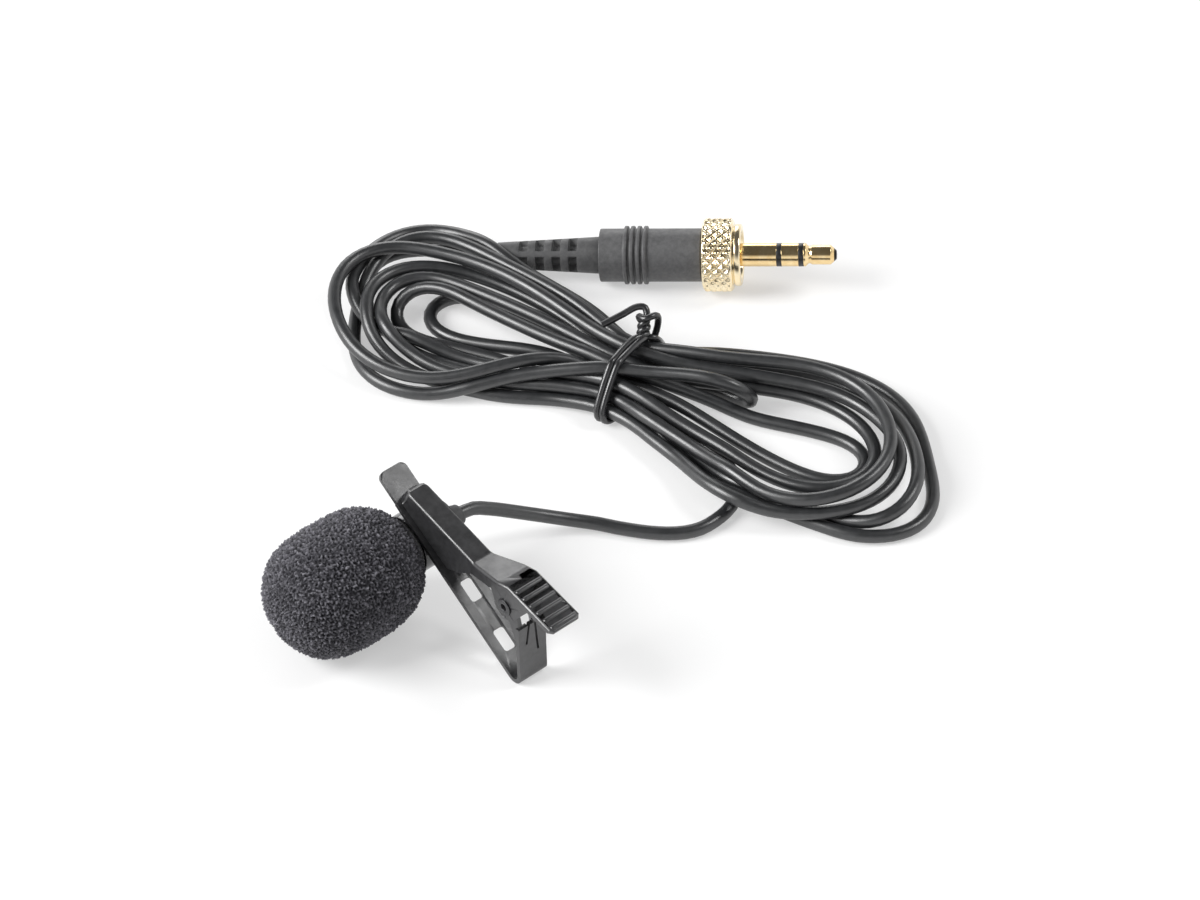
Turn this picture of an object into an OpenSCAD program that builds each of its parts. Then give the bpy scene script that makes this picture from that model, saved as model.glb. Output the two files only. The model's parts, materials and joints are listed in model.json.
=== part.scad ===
// Lavalier microphone with foam windscreen, tie clip, hanked cord and locking 3.5 mm plug.
// Millimetres. +X runs along the microphone from windscreen to cord, +Z is up, z = 0 is the table.
// The origin is under the middle of the microphone and clip.

/* [Windscreen] */
// Diameter of the foam windscreen
foam_d = 18.2; // [16:0.1:22]
// Length of the foam windscreen
foam_l = 22.4; // [20:0.1:28]
// Fit of the foam on the microphone body, per side
foam_fit = 0.05; // [0.02:0.01:0.1]

/* [Microphone body] */
// Outside diameter of the microphone body
body_d = 7.6; // [7.4:0.1:9]
// Wall of the microphone body
body_wall = 0.5; // [0.4:0.05:0.6]
// How far the body reaches forward of the windscreen's middle
body_front = 4.5; // [3:0.5:6]
// How far the body stands out behind the clip
body_tail = 1.7; // [1.2:0.1:2.2]
// Diameter of the electret capsule
capsule_d = 6; // [5:0.1:6]
// Depth of the electret capsule
capsule_l = 2.7; // [2:0.1:4]
// Thickness of the front grille
grille_t = 0.6; // [0.4:0.1:1]
// Diameter of a sound hole in the grille
sound_hole_d = 0.9; // [0.6:0.1:1.1]
// Flange of the rear collar
collar_t = 0.6; // [0.4:0.1:1.2]
// Length of the cord's strain relief at the microphone
relief_l = 2.5; // [2:0.1:5]

/* [Clip] */
// Width of the clip
clip_w = 5.4; // [5.2:0.1:7]
// How far the windscreen's rounded rear reaches past the front of the clip
foam_over = 0.55; // [0.4:0.05:0.7]
// Width of the clip base, inside the lever's
strip_w = 4.8; // [4.6:0.1:5]
// Sheet thickness of the clip base
plate_t = 0.7; // [0.6:0.05:0.8]
// Length of the clip base up to its bend
plate_l = 33.4; // [32:0.1:36]
// Inside radius of the bend at the end of the clip base
bend_r = 0.9; // [0.6:0.1:1.2]
// Angle through which the clip base is bent
bend_angle = 124; // [120:1:128]
// Length of the end wall above the bend
wall_l = 9.2; // [8.6:0.1:9.4]
// Length of each long slot in the clip base
slot_l = 3.4; // [2:0.1:4]
// Width of each long slot in the clip base
slot_w = 2.1; // [1.4:0.1:2.4]
// Distance of the microphone's axis from the tip of the clip base
ring_u = 9.9; // [9.4:0.1:11]
// Wall of the ring that holds the microphone
ring_wall = 0.6; // [0.4:0.1:1]
// Running clearance of the ring on the microphone, per side
ring_fit = 0.05; // [0.02:0.01:0.1]

/* [Clip lever] */
// Sheet thickness of the lever
lever_t = 0.6; // [0.4:0.05:0.7]
// Width of the lever's jaw
jaw_w = 3.5; // [3.3:0.1:4]
// Distance from the tip of the clip base to the lever's pivot
pivot_u = 25.8; // [25.4:0.1:26.2]
// Height of the pivot above the clip base
pivot_v = 10.7; // [10.4:0.1:11]
// Radius of the lever's ears
ear_r = 2.3; // [2.1:0.1:2.5]
// Radius of the pivot pin
pin_r = 1; // [0.8:0.05:1.1]
// Running clearance of the pivot pin, per side
pin_fit = 0.04; // [0.02:0.01:0.08]
// Number of ridges on the thumb pad
ridges = 6; // [3:1:6]
// Radius of a ridge
ridge_r = 0.42; // [0.38:0.01:0.5]
// Wire diameter of the torsion spring
spring_wire = 0.42; // [0.3:0.01:0.5]

/* [Cord] */
// Diameter of the cord
cord_d = 2; // [1.8:0.05:2.1]
// Reach of the hank's outer loop from the tie to its near end
hank_near = 49.5; // [46:0.5:52]
// Reach of the hank's outer loop from the tie to its far end
hank_far = 44; // [42:0.5:48]
// Half width of the outer loop at its widest
hank_wide = 15; // [14:0.1:16]
// Half width of the innermost strand at the waist
waist_in = 1.25; // [1.25:0.05:2]
// Wider step of the strands across the waist, from inner to outer
waist_step = 3.75; // [3.75:0.05:5]
// Step between the inner and outer loops at the ends
end_step = 6; // [5.6:0.1:7]
// Rise from one layer of the hank to the next
layer_rise = 2.45; // [2.45:0.05:3]
// Diameter of the twist tie's wire
tie_d = 1.2; // [1:0.05:1.4]

/* [Plug] */
// Diameter of the plug's shaft
shaft_d = 3.5; // [3.5:0.1:3.5]
// Length of the shaft in front of the locking ring
shaft_l = 14; // [13.6:0.1:14.4]
// Outside diameter of the locking ring
lock_d = 11; // [10.4:0.1:12]
// Length of the knurled part of the locking ring
lock_l = 4.7; // [4:0.1:6]
// Length of the smooth lip of the locking ring
lip_l = 1.2; // [0.8:0.1:2]
// Diameter of the barrel
barrel_d = 8; // [7.6:0.1:8.6]
// Length of the barrel
barrel_l = 15.4; // [15:0.1:18]
// Number of grip rings on the barrel
grip_rings = 4; // [2:1:5]
// Length of the plug's strain relief
boot_l = 15.6; // [14:0.1:16]
// Diameter of the strain relief at the barrel
boot_d = 5.6; // [5:0.1:6]
// Diameter of the strain relief at its tail
boot_tail_d = 3.9; // [3.6:0.1:4.4]
// Running clearance of the locking ring, per side
lock_fit = 0.05; // [0.02:0.01:0.1]

/* [Hidden] */
$fn = 64;
fine = 32;

foam_r = foam_d / 2;
body_r = body_d / 2;
bore_r = body_r - body_wall;
cord_r = cord_d / 2;
mic_z = foam_r;

// Places along the microphone's axis, counted from the middle of the windscreen
clip_x = foam_l / 2 - foam_over;
body_rear = clip_x + clip_w + body_tail;
collar_rear = body_rear + collar_t;
mic_exit = collar_rear + relief_l;

// The clip's own plane: u along the base from its tip, v out of its upper face
bend_out = bend_r + plate_t;
ring_out = body_r + ring_fit + ring_wall;
ring_v = -plate_t - ring_out;
bend_du = plate_l - ring_u;
bend_dv = bend_r - ring_v;
// The clip leans so that its bend touches the table
lean = atan2(bend_dv, bend_du) + asin((mic_z - bend_out) / norm([bend_du, bend_dv]));
wall_dir = [-sin(bend_angle - 90), cos(bend_angle - 90)];
wall_out = [plate_l, bend_r] + bend_out * [cos(bend_angle - 90), sin(bend_angle - 90)];
wall_in = [plate_l, bend_r] + bend_r * [cos(bend_angle - 90), sin(bend_angle - 90)];

// The lever's line over its back: nose, end of the jaw, start of the pad, end of the pad
nose = [4.2, 2.2];
nose_top = [4.8, 3.2];
jaw_end = [18.4, 8.1];
pad_start = [24.1, 14.3];
pad_end = [33, 17.9];
jaw_gap = 0.1;
rim = 0.9;

function clip_y(u, v) = -(u - ring_u) * cos(lean) - (v - ring_v) * sin(lean);
function clip_z(u, v) = mic_z - (u - ring_u) * sin(lean) + (v - ring_v) * cos(lean);

// The origin lies under the middle of the microphone and clip, halfway to a point below the pad's end
under_pad = [32.8, 16.85];
mid_x = (mic_exit - foam_l / 2) / 2;
mid_y = (foam_r + clip_y(under_pad[0], under_pad[1])) / 2;

// ---- Shared shapes -------------------------------------------------------

// Moves a shape drawn from the windscreen's middle to its place
module on_table() {
    translate([-mid_x, -mid_y, 0]) children();
}

// Stands a shape drawn along z on the microphone's axis, starting at x
module on_axis(x) {
    on_table() translate([x, 0, mic_z]) rotate([0, 90, 0]) children();
}

// Lays a shape drawn in u, v and across the clip (z from its far side) into place
module in_clip() {
    on_table() translate([clip_x + clip_w, 0, mic_z])
        rotate([90 + lean, 0, 0]) rotate([0, -90, 0])
            translate([-ring_u, -ring_v, 0]) children();
}

module tube(r_out, r_in, h) {
    difference() {
        cylinder(r = r_out, h = h);
        translate([0, 0, -1]) cylinder(r = r_in, h = h + 2);
    }
}

// A hole or slot across the clip, through everything at u, v
module cross_hole(u, v, r) {
    translate([u, v, -1]) cylinder(r = r, h = clip_w + 2);
}

// Points of a smooth sweep: one ring of n points round point i of a path
function unit(v) = v / norm(v);
function heading(p, i) =
    i == 0 ? unit(p[1] - p[0]) :
    i == len(p) - 1 ? unit(p[i] - p[i - 1]) :
    unit(unit(p[i] - p[i - 1]) + unit(p[i + 1] - p[i]));
function ring(p, i, r, n, up) =
    let (t = heading(p, i), side = unit(cross(t, up)), top = cross(side, t))
    [for (k = [0 : n - 1]) p[i] + r * (cos(360 * k / n) * side + sin(360 * k / n) * top)];
module sweep(p, r, n, up) {
    m = len(p);
    points = [for (i = [0 : m - 1]) each ring(p, i, r, n, up)];
    sides = [for (i = [0 : m - 2]) for (k = [0 : n - 1])
        let (a = i * n + k, b = i * n + (k + 1) % n)
        each [[a, b, a + n], [b, b + n, a + n]]];
    ends = [for (k = [1 : n - 2]) each [[0, k + 1, k], [m * n - n, m * n - n + k, m * n - n + k + 1]]];
    polyhedron(points = points, faces = concat(sides, ends), convexity = 10);
}
function path_length(p) =
    len(p) < 2 ? 0 : [for (i = 0, s = 0; i < len(p); i = i + 1,
        s = i < len(p) ? s + norm(p[i] - p[i - 1]) : s) s][len(p) - 1];

// ---- Windscreen and microphone body ---------------------------------------

// Rounded foam head, drawn about its middle
function foam_radius(k) = foam_r * pow(1 - pow(abs(k), 3), 1 / 2.2);

module windscreen() {
    steps = 36;
    reach = body_front + grille_t + 0.3;
    color([0.23, 0.23, 0.26]) on_axis(0) difference() {
        rotate_extrude() polygon([for (i = [0 : steps])
            let (k = -cos(180 * i / steps)) [max(0, foam_radius(k)), k * foam_l / 2]]);
        translate([0, 0, -reach]) cylinder(r = body_r + foam_fit, h = foam_l);
    }
}

module mic_housing() {
    color([0.05, 0.05, 0.06]) on_axis(-body_front) tube(body_r, bore_r, body_front + body_rear);
}

grille_lip = 0.4;
grille_seat = 0.8;

module grille_cap() {
    hole_ring = bore_r * 0.5;
    color([0.1, 0.1, 0.11]) on_axis(-body_front) {
        difference() {
            translate([0, 0, -grille_t]) cylinder(r = body_r, h = grille_t);
            translate([0, 0, -grille_t - 1]) cylinder(r = sound_hole_d / 2, h = grille_t + 2, $fn = fine);
            for (a = [0 : 60 : 300]) rotate(a) translate([hole_ring, 0, -grille_t - 1])
                cylinder(r = sound_hole_d / 2, h = grille_t + 2, $fn = fine);
        }
        tube(bore_r, bore_r - grille_lip, grille_seat);
    }
}

module grille_mesh() {
    color([0.6, 0.6, 0.62]) on_axis(-body_front) cylinder(r = bore_r - grille_lip, h = 0.15);
}

can_x = -body_front + grille_seat;
can_wall = 0.2;
gasket_l = capsule_l + 0.5;
board_t = 0.4;

module capsule_gasket() {
    color([0.15, 0.15, 0.15]) on_axis(can_x) tube(bore_r, capsule_d / 2, gasket_l);
}

module capsule_can() {
    color([0.75, 0.75, 0.77]) on_axis(can_x) difference() {
        cylinder(r = capsule_d / 2, h = capsule_l);
        translate([0, 0, can_wall]) cylinder(r = capsule_d / 2 - can_wall, h = capsule_l);
        translate([0, 0, -1]) cylinder(r = 1, h = 3, $fn = fine);
    }
}

diaphragm_t = 0.3;
backplate_t = 0.6;

module diaphragm() {
    color([0.8, 0.7, 0.3]) on_axis(can_x + can_wall) difference() {
        cylinder(r = capsule_d / 2 - can_wall, h = diaphragm_t);
        translate([0, 0, 0.05]) cylinder(r = capsule_d / 2 - 2 * can_wall - 0.2, h = diaphragm_t);
    }
}

module backplate() {
    color([0.7, 0.6, 0.4]) on_axis(can_x + can_wall + diaphragm_t)
        tube(capsule_d / 2 - can_wall, 0.4, backplate_t);
}

board_x = can_x + capsule_l - board_t;

module circuit_board() {
    color([0.05, 0.3, 0.12]) on_axis(board_x) cylinder(r = capsule_d / 2 - can_wall, h = board_t);
}

module transistor() {
    deep = board_x - (can_x + can_wall + diaphragm_t + backplate_t);
    color([0.08, 0.08, 0.08]) on_axis(board_x - deep) translate([-0.8, -0.5, 0]) cube([1.6, 1, deep]);
}

crimp_l = 1.4;
collar_seat = 1.6;
crimp_x = body_rear - collar_seat - crimp_l;
cord_end_x = crimp_x - 1.2;
wire_r = 0.28;

module inner_wires() {
    color([0.7, 0.15, 0.12]) for (y = [-0.5, 0.5]) on_axis(board_x + board_t)
        translate([0, y, 0]) cylinder(r = wire_r, h = cord_end_x - board_x - board_t, $fn = 24);
}

module crimp_ring() {
    color([0.7, 0.6, 0.35]) on_axis(crimp_x) tube(cord_r + 0.6, cord_r, crimp_l);
}

module rear_collar() {
    color([0.06, 0.06, 0.07]) {
        on_axis(body_rear - collar_seat) tube(bore_r, cord_r, collar_seat);
        on_axis(body_rear) tube(body_r, cord_r, collar_t);
    }
}

module mic_strain_relief() {
    color([0.07, 0.07, 0.07]) on_axis(collar_rear) difference() {
        cylinder(r1 = cord_r + 1.1, r2 = cord_r + 0.45, h = relief_l);
        translate([0, 0, -1]) cylinder(r = cord_r, h = relief_l + 2);
    }
}

module mic_cord_end() {
    color([0.08, 0.08, 0.08]) on_axis(cord_end_x) cylinder(r = cord_r, h = mic_exit - cord_end_x);
}

// ---- Clip -------------------------------------------------------------------

ear_t = 0.6;
ear_gap = 0.08;
slit_w = 0.35;
// Middles of the two long slots, counted back from the bend
slots_back = [4.8, 13];

// Side view of the bent strip: plate, bend and end wall
module strip_outline() {
    turn = [for (a = [0 : bend_angle / 12 : bend_angle]) a - 90];
    polygon(concat(
        [[0, 0], [0, -plate_t]],
        [for (a = turn) [plate_l, bend_r] + bend_out * [cos(a), sin(a)]],
        [wall_out + wall_l * wall_dir, wall_in + wall_l * wall_dir],
        [for (i = [len(turn) - 1 : -1 : 0]) [plate_l, bend_r] + bend_r * [cos(turn[i]), sin(turn[i])]]
    ));
}

// Plan of the strip: narrower tip with round corners
module strip_plan() {
    strip_in = (clip_w - strip_w) / 2;
    tip_in = strip_in + 0.1;
    corner = 1;
    far = plate_l + bend_out + 1;
    translate([corner, tip_in]) square([far - corner, clip_w - 2 * tip_in]);
    translate([0, tip_in + corner]) square([far, clip_w - 2 * tip_in - 2 * corner]);
    for (w = [tip_in + corner, clip_w - tip_in - corner]) translate([corner, w])
        circle(r = corner, $fn = fine);
    translate([nose_top[0], strip_in]) square([far - nose_top[0], strip_w]);
}

// A slot with round corners through the plate
slot_corner = 0.5;
module long_slot(u) {
    half = slot_l / 2;
    side = slot_w / 2;
    deep = plate_t + 2;
    translate([u, 1, clip_w / 2]) rotate([90, 0, 0]) {
        for (a = [slot_corner - half, half - slot_corner]) for (b = [slot_corner - side, side - slot_corner])
            translate([a, b, 0]) cylinder(r = slot_corner, h = deep, $fn = fine);
        translate([-half, slot_corner - side, 0]) cube([slot_l, slot_w - 2 * slot_corner, deep]);
        translate([slot_corner - half, -side, 0]) cube([slot_l - 2 * slot_corner, slot_w, deep]);
    }
}

// A thin slit down the end wall: across positions at its top and foot, and its depth
module wall_slit(at_top, at_foot, deep) {
    h = slit_w / 2;
    translate(wall_out + wall_l * wall_dir) rotate([0, 0, bend_angle + 180]) translate([0, 2, 0])
        rotate([90, 0, 0]) linear_extrude(4)
            polygon([[-1, at_top - h], [-1, at_top + h], [deep, at_foot + h], [deep, at_foot - h]]);
}

// Side view of the ears that carry the pin, reaching forward from the end wall
module base_ear_outline() {
    low = wall_in + (wall_l - 4.6) * wall_dir;
    high = wall_in + wall_l * wall_dir;
    out = plate_t * 0.5 * [cos(bend_angle - 90), sin(bend_angle - 90)];
    translate([pivot_u, pivot_v]) circle(r = ear_r - 0.5, $fn = fine);
    polygon([[pivot_u, pivot_v + ear_r - 0.5], high + out, low + out, [pivot_u, pivot_v - ear_r + 0.5]]);
}

module clip_base() {
    color([0.07, 0.07, 0.08]) in_clip() difference() {
        union() {
            intersection() {
                linear_extrude(clip_w) strip_outline();
                translate([0, 20, 0]) rotate([90, 0, 0]) linear_extrude(40) strip_plan();
            }
            for (w = [lever_t + ear_gap, clip_w - lever_t - ear_gap - ear_t])
                translate([0, 0, w]) linear_extrude(ear_t) base_ear_outline();
        }
        for (back = slots_back) long_slot(plate_l - back);
        cross_hole(pivot_u, pivot_v, pin_r);
        translate([ring_u, -plate_t - 1, clip_w / 2]) rotate([-90, 0, 0])
            cylinder(r = rivet_r, h = plate_t + 2, $fn = fine);
        wall_slit(clip_w / 2 + 0.4, clip_w / 2 + 1.1, 3.4);
        wall_slit(clip_w / 2 - 0.4, clip_w / 2 - 0.9, 5.4);
    }
}

rivet_r = 0.6;
rivet_deep = 0.45;
ring_mouth = 50;
// How far the ring's ends stay inside the clip's sides
ring_in = 0.55;

module mic_ring() {
    saddle = 4.4;
    mouth_deep = ring_out + 1;
    mouth_half = mouth_deep * tan(ring_mouth / 2);
    color([0.06, 0.06, 0.07]) in_clip() difference() {
        union() {
            translate([ring_u, ring_v, ring_in]) cylinder(r = ring_out, h = clip_w - 2 * ring_in);
            translate([ring_u - saddle / 2, ring_v + ring_out - 1, ring_in])
                cube([saddle, 1, clip_w - 2 * ring_in]);
        }
        cross_hole(ring_u, ring_v, body_r + ring_fit);
        translate([ring_u, ring_v, -1]) linear_extrude(clip_w + 2)
            polygon([[0, 0], [-mouth_half, -mouth_deep], [mouth_half, -mouth_deep]]);
        translate([ring_u, -plate_t - rivet_deep, clip_w / 2]) rotate([-90, 0, 0])
            cylinder(r = rivet_r, h = 2, $fn = fine);
    }
}

module ring_rivet() {
    color([0.3, 0.3, 0.32]) in_clip() translate([ring_u, 0, clip_w / 2]) rotate([-90, 0, 0]) {
        translate([0, 0, -plate_t - rivet_deep]) cylinder(r = rivet_r, h = plate_t + rivet_deep, $fn = fine);
        cylinder(r = 1.1, h = 0.35, $fn = fine);
    }
}

pin_head = 0.25;
pin_flare = 0.25;
pin_play = 0.03;

module pivot_pin() {
    reach = pin_play + pin_head;
    color([0.35, 0.35, 0.37]) in_clip() translate([pivot_u, pivot_v, 0]) difference() {
        union() {
            translate([0, 0, -reach]) cylinder(r = pin_r, h = clip_w + 2 * reach);
            for (w = [-reach, clip_w + pin_play]) translate([0, 0, w])
                cylinder(r = pin_r + pin_flare, h = pin_head);
        }
        translate([0, 0, -1]) cylinder(r = pin_r * 0.55, h = clip_w + 2);
    }
}

// One unbroken wire: leg on the end wall, coil round the pin, leg under the lever's back
spring_turns = 2;
spring_pitch = spring_wire + 0.43;
spring_gap = 0.05;
coil_r = pin_r + 0.1 + spring_wire / 2;
coil_start = (clip_w - spring_turns * spring_pitch) / 2;
function coil_point(t) = [pivot_u - coil_r * sin(t), pivot_v - coil_r * cos(t),
    coil_start + spring_pitch * t / 360];
function spring_path() =
    let (clear = spring_wire / 2 + spring_gap,
        rest = wall_in + (wall_l - 3) * wall_dir - clear * [cos(bend_angle - 90), sin(bend_angle - 90)],
        first = coil_point(0), last = coil_point(360 * spring_turns),
        leg_end = jaw_end - [0.3, 1.35 * lever_t + clear])
    concat([[rest[0], rest[1], first[2]], [first[0] + 2, first[1] - 0.3, first[2]]],
        [for (i = [0 : 8 * spring_turns]) coil_point(45 * i)],
        [[last[0] - 2, last[1] - 0.1, last[2]], [leg_end[0], leg_end[1], last[2]]]);

module torsion_spring() {
    color([0.6, 0.6, 0.62]) in_clip() sweep(spring_path(), spring_wire / 2, 6, [0, 0, 1]);
}

// Side view of the lever: back, pad rim, ears and jaw flanges
module lever_outline() {
    pad_dir = unit(pad_end - pad_start);
    pad_down = [pad_dir[1], -pad_dir[0]];
    polygon([[nose[0], jaw_gap], nose, nose_top, jaw_end, pad_start, pad_end,
        pad_end + rim * pad_down, pad_start + rim * pad_down + 4.4 * pad_dir,
        [pivot_u + ear_r, pivot_v], [pivot_u, pivot_v - ear_r], [pivot_u - 3.2, pivot_v - 0.4],
        [jaw_end[0] + 0.7, jaw_end[1] - 1.8], [jaw_end[0] - 0.7, 2.6], [jaw_end[0] - 2.2, 0.6]]);
    translate([pivot_u, pivot_v]) circle(r = ear_r);
}

// The room under the back of the lever, one sheet thickness inside the outline
module lever_inside() {
    pad_dir = unit(pad_end - pad_start);
    pad_down = lever_t * [pad_dir[1], -pad_dir[0]];
    jaw_dir = unit(jaw_end - nose_top);
    jaw_down = lever_t * [jaw_dir[1], -jaw_dir[0]];
    flare_dir = unit(pad_start - jaw_end);
    flare_down = lever_t * [flare_dir[1], -flare_dir[0]];
    polygon([[nose[0], -5], nose_top + jaw_down - [3, 0.8], jaw_end + jaw_down + [0.2, 0],
        jaw_end + flare_down, pad_start + (flare_down + pad_down) / 2,
        pad_end + pad_down + 5 * pad_dir, [pad_end[0] + 6, -5]]);
}

// Plan of the lever, drawn in by d all round: jaw, flare and pad with round corners
module lever_plan(d) {
    inset = (clip_w - jaw_w) / 2 + d;
    corner = 0.6;
    back = pad_end[0] - d;
    round_r = (clip_w - 2 * inset) * 0.36;
    translate([nose[0] + d + round_r, inset]) square([jaw_end[0] - nose[0] - round_r, clip_w - 2 * inset]);
    translate([nose[0] + d, inset + round_r]) square([jaw_end[0] - nose[0], clip_w - 2 * (inset + round_r)]);
    for (w = [inset + round_r, clip_w - inset - round_r]) translate([nose[0] + d + round_r, w])
        circle(r = round_r, $fn = fine);
    polygon([[jaw_end[0] - 0.5, inset], [jaw_end[0] + 4, d], [back - corner, d], [back, d + corner],
        [back, clip_w - d - corner], [back - corner, clip_w - d], [jaw_end[0] + 4, clip_w - d],
        [jaw_end[0] - 0.5, clip_w - inset]]);
}

module clip_lever() {
    pad_dir = unit(pad_end - pad_start);
    pad_down = [pad_dir[1], -pad_dir[0]];
    step = norm(pad_end - pad_start) / (ridges + 0.6);
    color([0.07, 0.07, 0.08]) in_clip() difference() {
        union() {
            difference() {
                intersection() {
                    linear_extrude(clip_w) lever_outline();
                    translate([0, 30, 0]) rotate([90, 0, 0]) linear_extrude(60) lever_plan(0);
                }
                intersection() {
                    translate([0, 0, -1]) linear_extrude(clip_w + 2) lever_inside();
                    translate([0, 31, 0]) rotate([90, 0, 0]) linear_extrude(62) lever_plan(lever_t);
                }
            }
            for (i = [1 : ridges]) translate([each (pad_start + i * step * pad_dir + 0.2 * pad_down), 0.35])
                cylinder(r = ridge_r, h = clip_w - 0.7, $fn = 24);
        }
        cross_hole(pivot_u, pivot_v, pin_r + pin_fit);
    }
}

// ---- Cord -------------------------------------------------------------------

cord_color = [0.07, 0.07, 0.075];
up = [0, 0, 1];
exit_point = [mic_exit - mid_x, -mid_y, mic_z];

// Route of the free stretch from the microphone to the hank
mic_route = concat([exit_point, exit_point + [cord_d, 0, 0]],
    [[22, 10.1, 7.4], [25.5, 8.9, 5.4], [28.8, 7.4, 3.6], [31.8, 5.6, 2.1], [34.4, 3.1, 1.3], [36.8, -0.5, 1],
    [39.2, -3.9, 1], [42, -6.4, 1], [45, -7.6, 1], [47, -7.6, 1]]);

// The hank lies round its tie: p runs along it towards the near end, q across it
hank_x = 56;
hank_y = 21.8;
hank_turn = -68;
function hank_place(p, q, z) = [hank_x + p * cos(hank_turn) - q * sin(hank_turn),
    hank_y + p * sin(hank_turn) + q * cos(hank_turn), z];

// Loops run clockwise; t counts degrees from the tie on the near side.
// The spiral goes in and out again every turn and a half, and climbs a layer in that half turn.
span = 540;
layers = 4;
hank_from = -15;
hank_to = 2280;
lift = tie_d + 0.3;
// At the end the cord steps outside the pile and comes down beside it, to the plug's height
step_out = 2.7;
tail_z = 3.6;
// Share of the width that the inner loops give up, and how far the tie's pinch reaches
narrowing = 0.95;
pinch = 9;
// Degrees by which the steps crowd towards the ends, where the cord turns
crowding = 11.5;
function smooth(x) = let (c = min(1, max(0, x))) c * c * (3 - 2 * c);
function inward(t) = let (k = floor(t / span), s = t / span - k) (k % 2 == 0) ? s : 1 - s;
function layer(t) = let (k = floor((t + span / 2) / span))
    k == 0 ? 0 : k - 1 + smooth((t - k * span + 90) / 180);
function out_by(t) = step_out * smooth((t - layers * span - 10) / 70);
function drop_by(t) = smooth((t - layers * span - 30) / 85);
// The widest place of sin(a) * cos(a)^2 is 0.385, where sin(a) is 0.577
function hank_point(t) =
    let (a = -90 - t - crowding * sin(2 * t), in = t > layers * span ? 0 : inward(t),
        waist = waist_in + waist_step * (1 - in),
        wide = (hank_wide - end_step * narrowing * in - 0.577 * waist) / 0.385,
        reach = (cos(a) > 0 ? hank_near : hank_far) - end_step * in + out_by(t),
        p = reach * cos(a), q = sin(a) * (waist + wide * cos(a) * cos(a) + 1.2 * out_by(t)),
        low = cord_r + layer_rise * min(layers - 1, layer(t)) + lift * exp(-pow(p / pinch, 2)))
    hank_place(p, q, low + (tail_z - low) * drop_by(t));

// Lead in: a left-hand arc from the end of the free stretch to the first run
lead_r = 5.8;
lead_start = mic_route[len(mic_route) - 1];
function lead_arc(a) = lead_start + [cord_d + lead_r * sin(a), lead_r * (1 - cos(a)), 0];
lead_in = concat([lead_start, lead_start + [cord_d, 0, 0]], [for (a = [15 : 15 : 90]) lead_arc(a)]);
function hank_route(step) = concat(lead_in, [for (t = [hank_from : step : hank_to]) hank_point(t)]);
hank_path = hank_route(15);

// Least gap of the hank to itself, on points half a step apart
gap_points = hank_route(7.5);
least_gap = min([for (i = [0 : len(gap_points) - 1]) for (j = [i + 12 : 1 : len(gap_points) - 1])
    norm(gap_points[i] - gap_points[j])]) - cord_d;
echo(least_gap_of_hank = least_gap);
echo(hank_length = path_length(hank_path), mic_length = path_length(mic_route));
echo(plug_length = path_length(plug_route));

module mic_cable() {
    color(cord_color) sweep(mic_route, cord_r, 8, up);
}

module cable_hank() {
    color(cord_color) sweep(hank_path, cord_r, 6, up);
}

// The tie goes once round the waist and its two ends are twisted on top
tie_r = tie_d / 2;
tie_half = waist_in + waist_step + cord_r + tie_r + 0.5;
tie_top = cord_d + 3 * layer_rise + lift + tie_r + 0.35;
function tie_at(p, q, z) = hank_place(p, q, z);
tie_path = let (h = tie_half, t = tie_top, c = 2.5, b = tie_r, f = 0.6)
    [tie_at(-7, 3.4, t + 0.6), tie_at(-4.5, 2.6, t + 1), tie_at(-2.2, 2.8, t + 1.1),
    tie_at(-0.8, 1.6, t + 0.5), tie_at(-0.8, 0, t + 0.1), tie_at(-0.8, c - h, t),
    tie_at(-0.75, f - h, t - 0.7), tie_at(-0.7, -h, t - c), tie_at(-0.5, -h, b + c),
    tie_at(-0.3, f - h, b + 0.7), tie_at(-0.1, c - h, b), tie_at(0.1, h - c, b),
    tie_at(0.3, h - f, b + 0.7), tie_at(0.5, h, b + c), tie_at(0.7, h, t - c),
    tie_at(0.8, h - f, t - 0.5), tie_at(0.9, h - c, t + 0.4), tie_at(1.2, 2.4, t + 0.8),
    tie_at(2.4, 1.4, t + 0.9), tie_at(3.4, -0.4, t + 0.5), tie_at(3.8, -2.4, t + 0.1)];

module twist_tie() {
    color([0.05, 0.05, 0.05]) sweep(tie_path, tie_r, 8, [cos(hank_turn), sin(hank_turn), 0]);
}

// ---- Plug -------------------------------------------------------------------

// The plug lies on its locking ring and the back of its barrel; s counts from the back of the ring
plug_x = 81.7;
plug_y = 32.7;
plug_yaw = -46;
plug_pitch = 4.3;
lock_r = lock_d / 2;
plug_z = lock_r * cos(plug_pitch);
plug_dir = [cos(plug_pitch) * cos(plug_yaw), cos(plug_pitch) * sin(plug_yaw), sin(plug_pitch)];
function on_plug(s) = [plug_x, plug_y, plug_z] + s * plug_dir;
module at_plug(s) {
    translate(on_plug(s)) rotate([0, 90 - plug_pitch, plug_yaw]) children();
}
shaft_r = shaft_d / 2;
barrel_r = barrel_d / 2;
barrel_back = -barrel_l;
boot_back = barrel_back - boot_l;
lip_front = lock_l + lip_l;
tip_end = lip_front + shaft_l + 0.2;

// Route of the free stretch from the hank to the plug
hank_end = hank_path[len(hank_path) - 1];
hank_end_dir = heading(hank_path, len(hank_path) - 1);
plug_route = concat([hank_end, hank_end + cord_d * hank_end_dir], [[55.4, 60.6, 3.2]],
    [on_plug(boot_back - cord_d), on_plug(boot_back)]);

module plug_cable() {
    color(cord_color) sweep(plug_route, cord_r, 8, up);
}

window_l = 1.3;
window_step = 2.5;
spine_w = 0.9;

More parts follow.
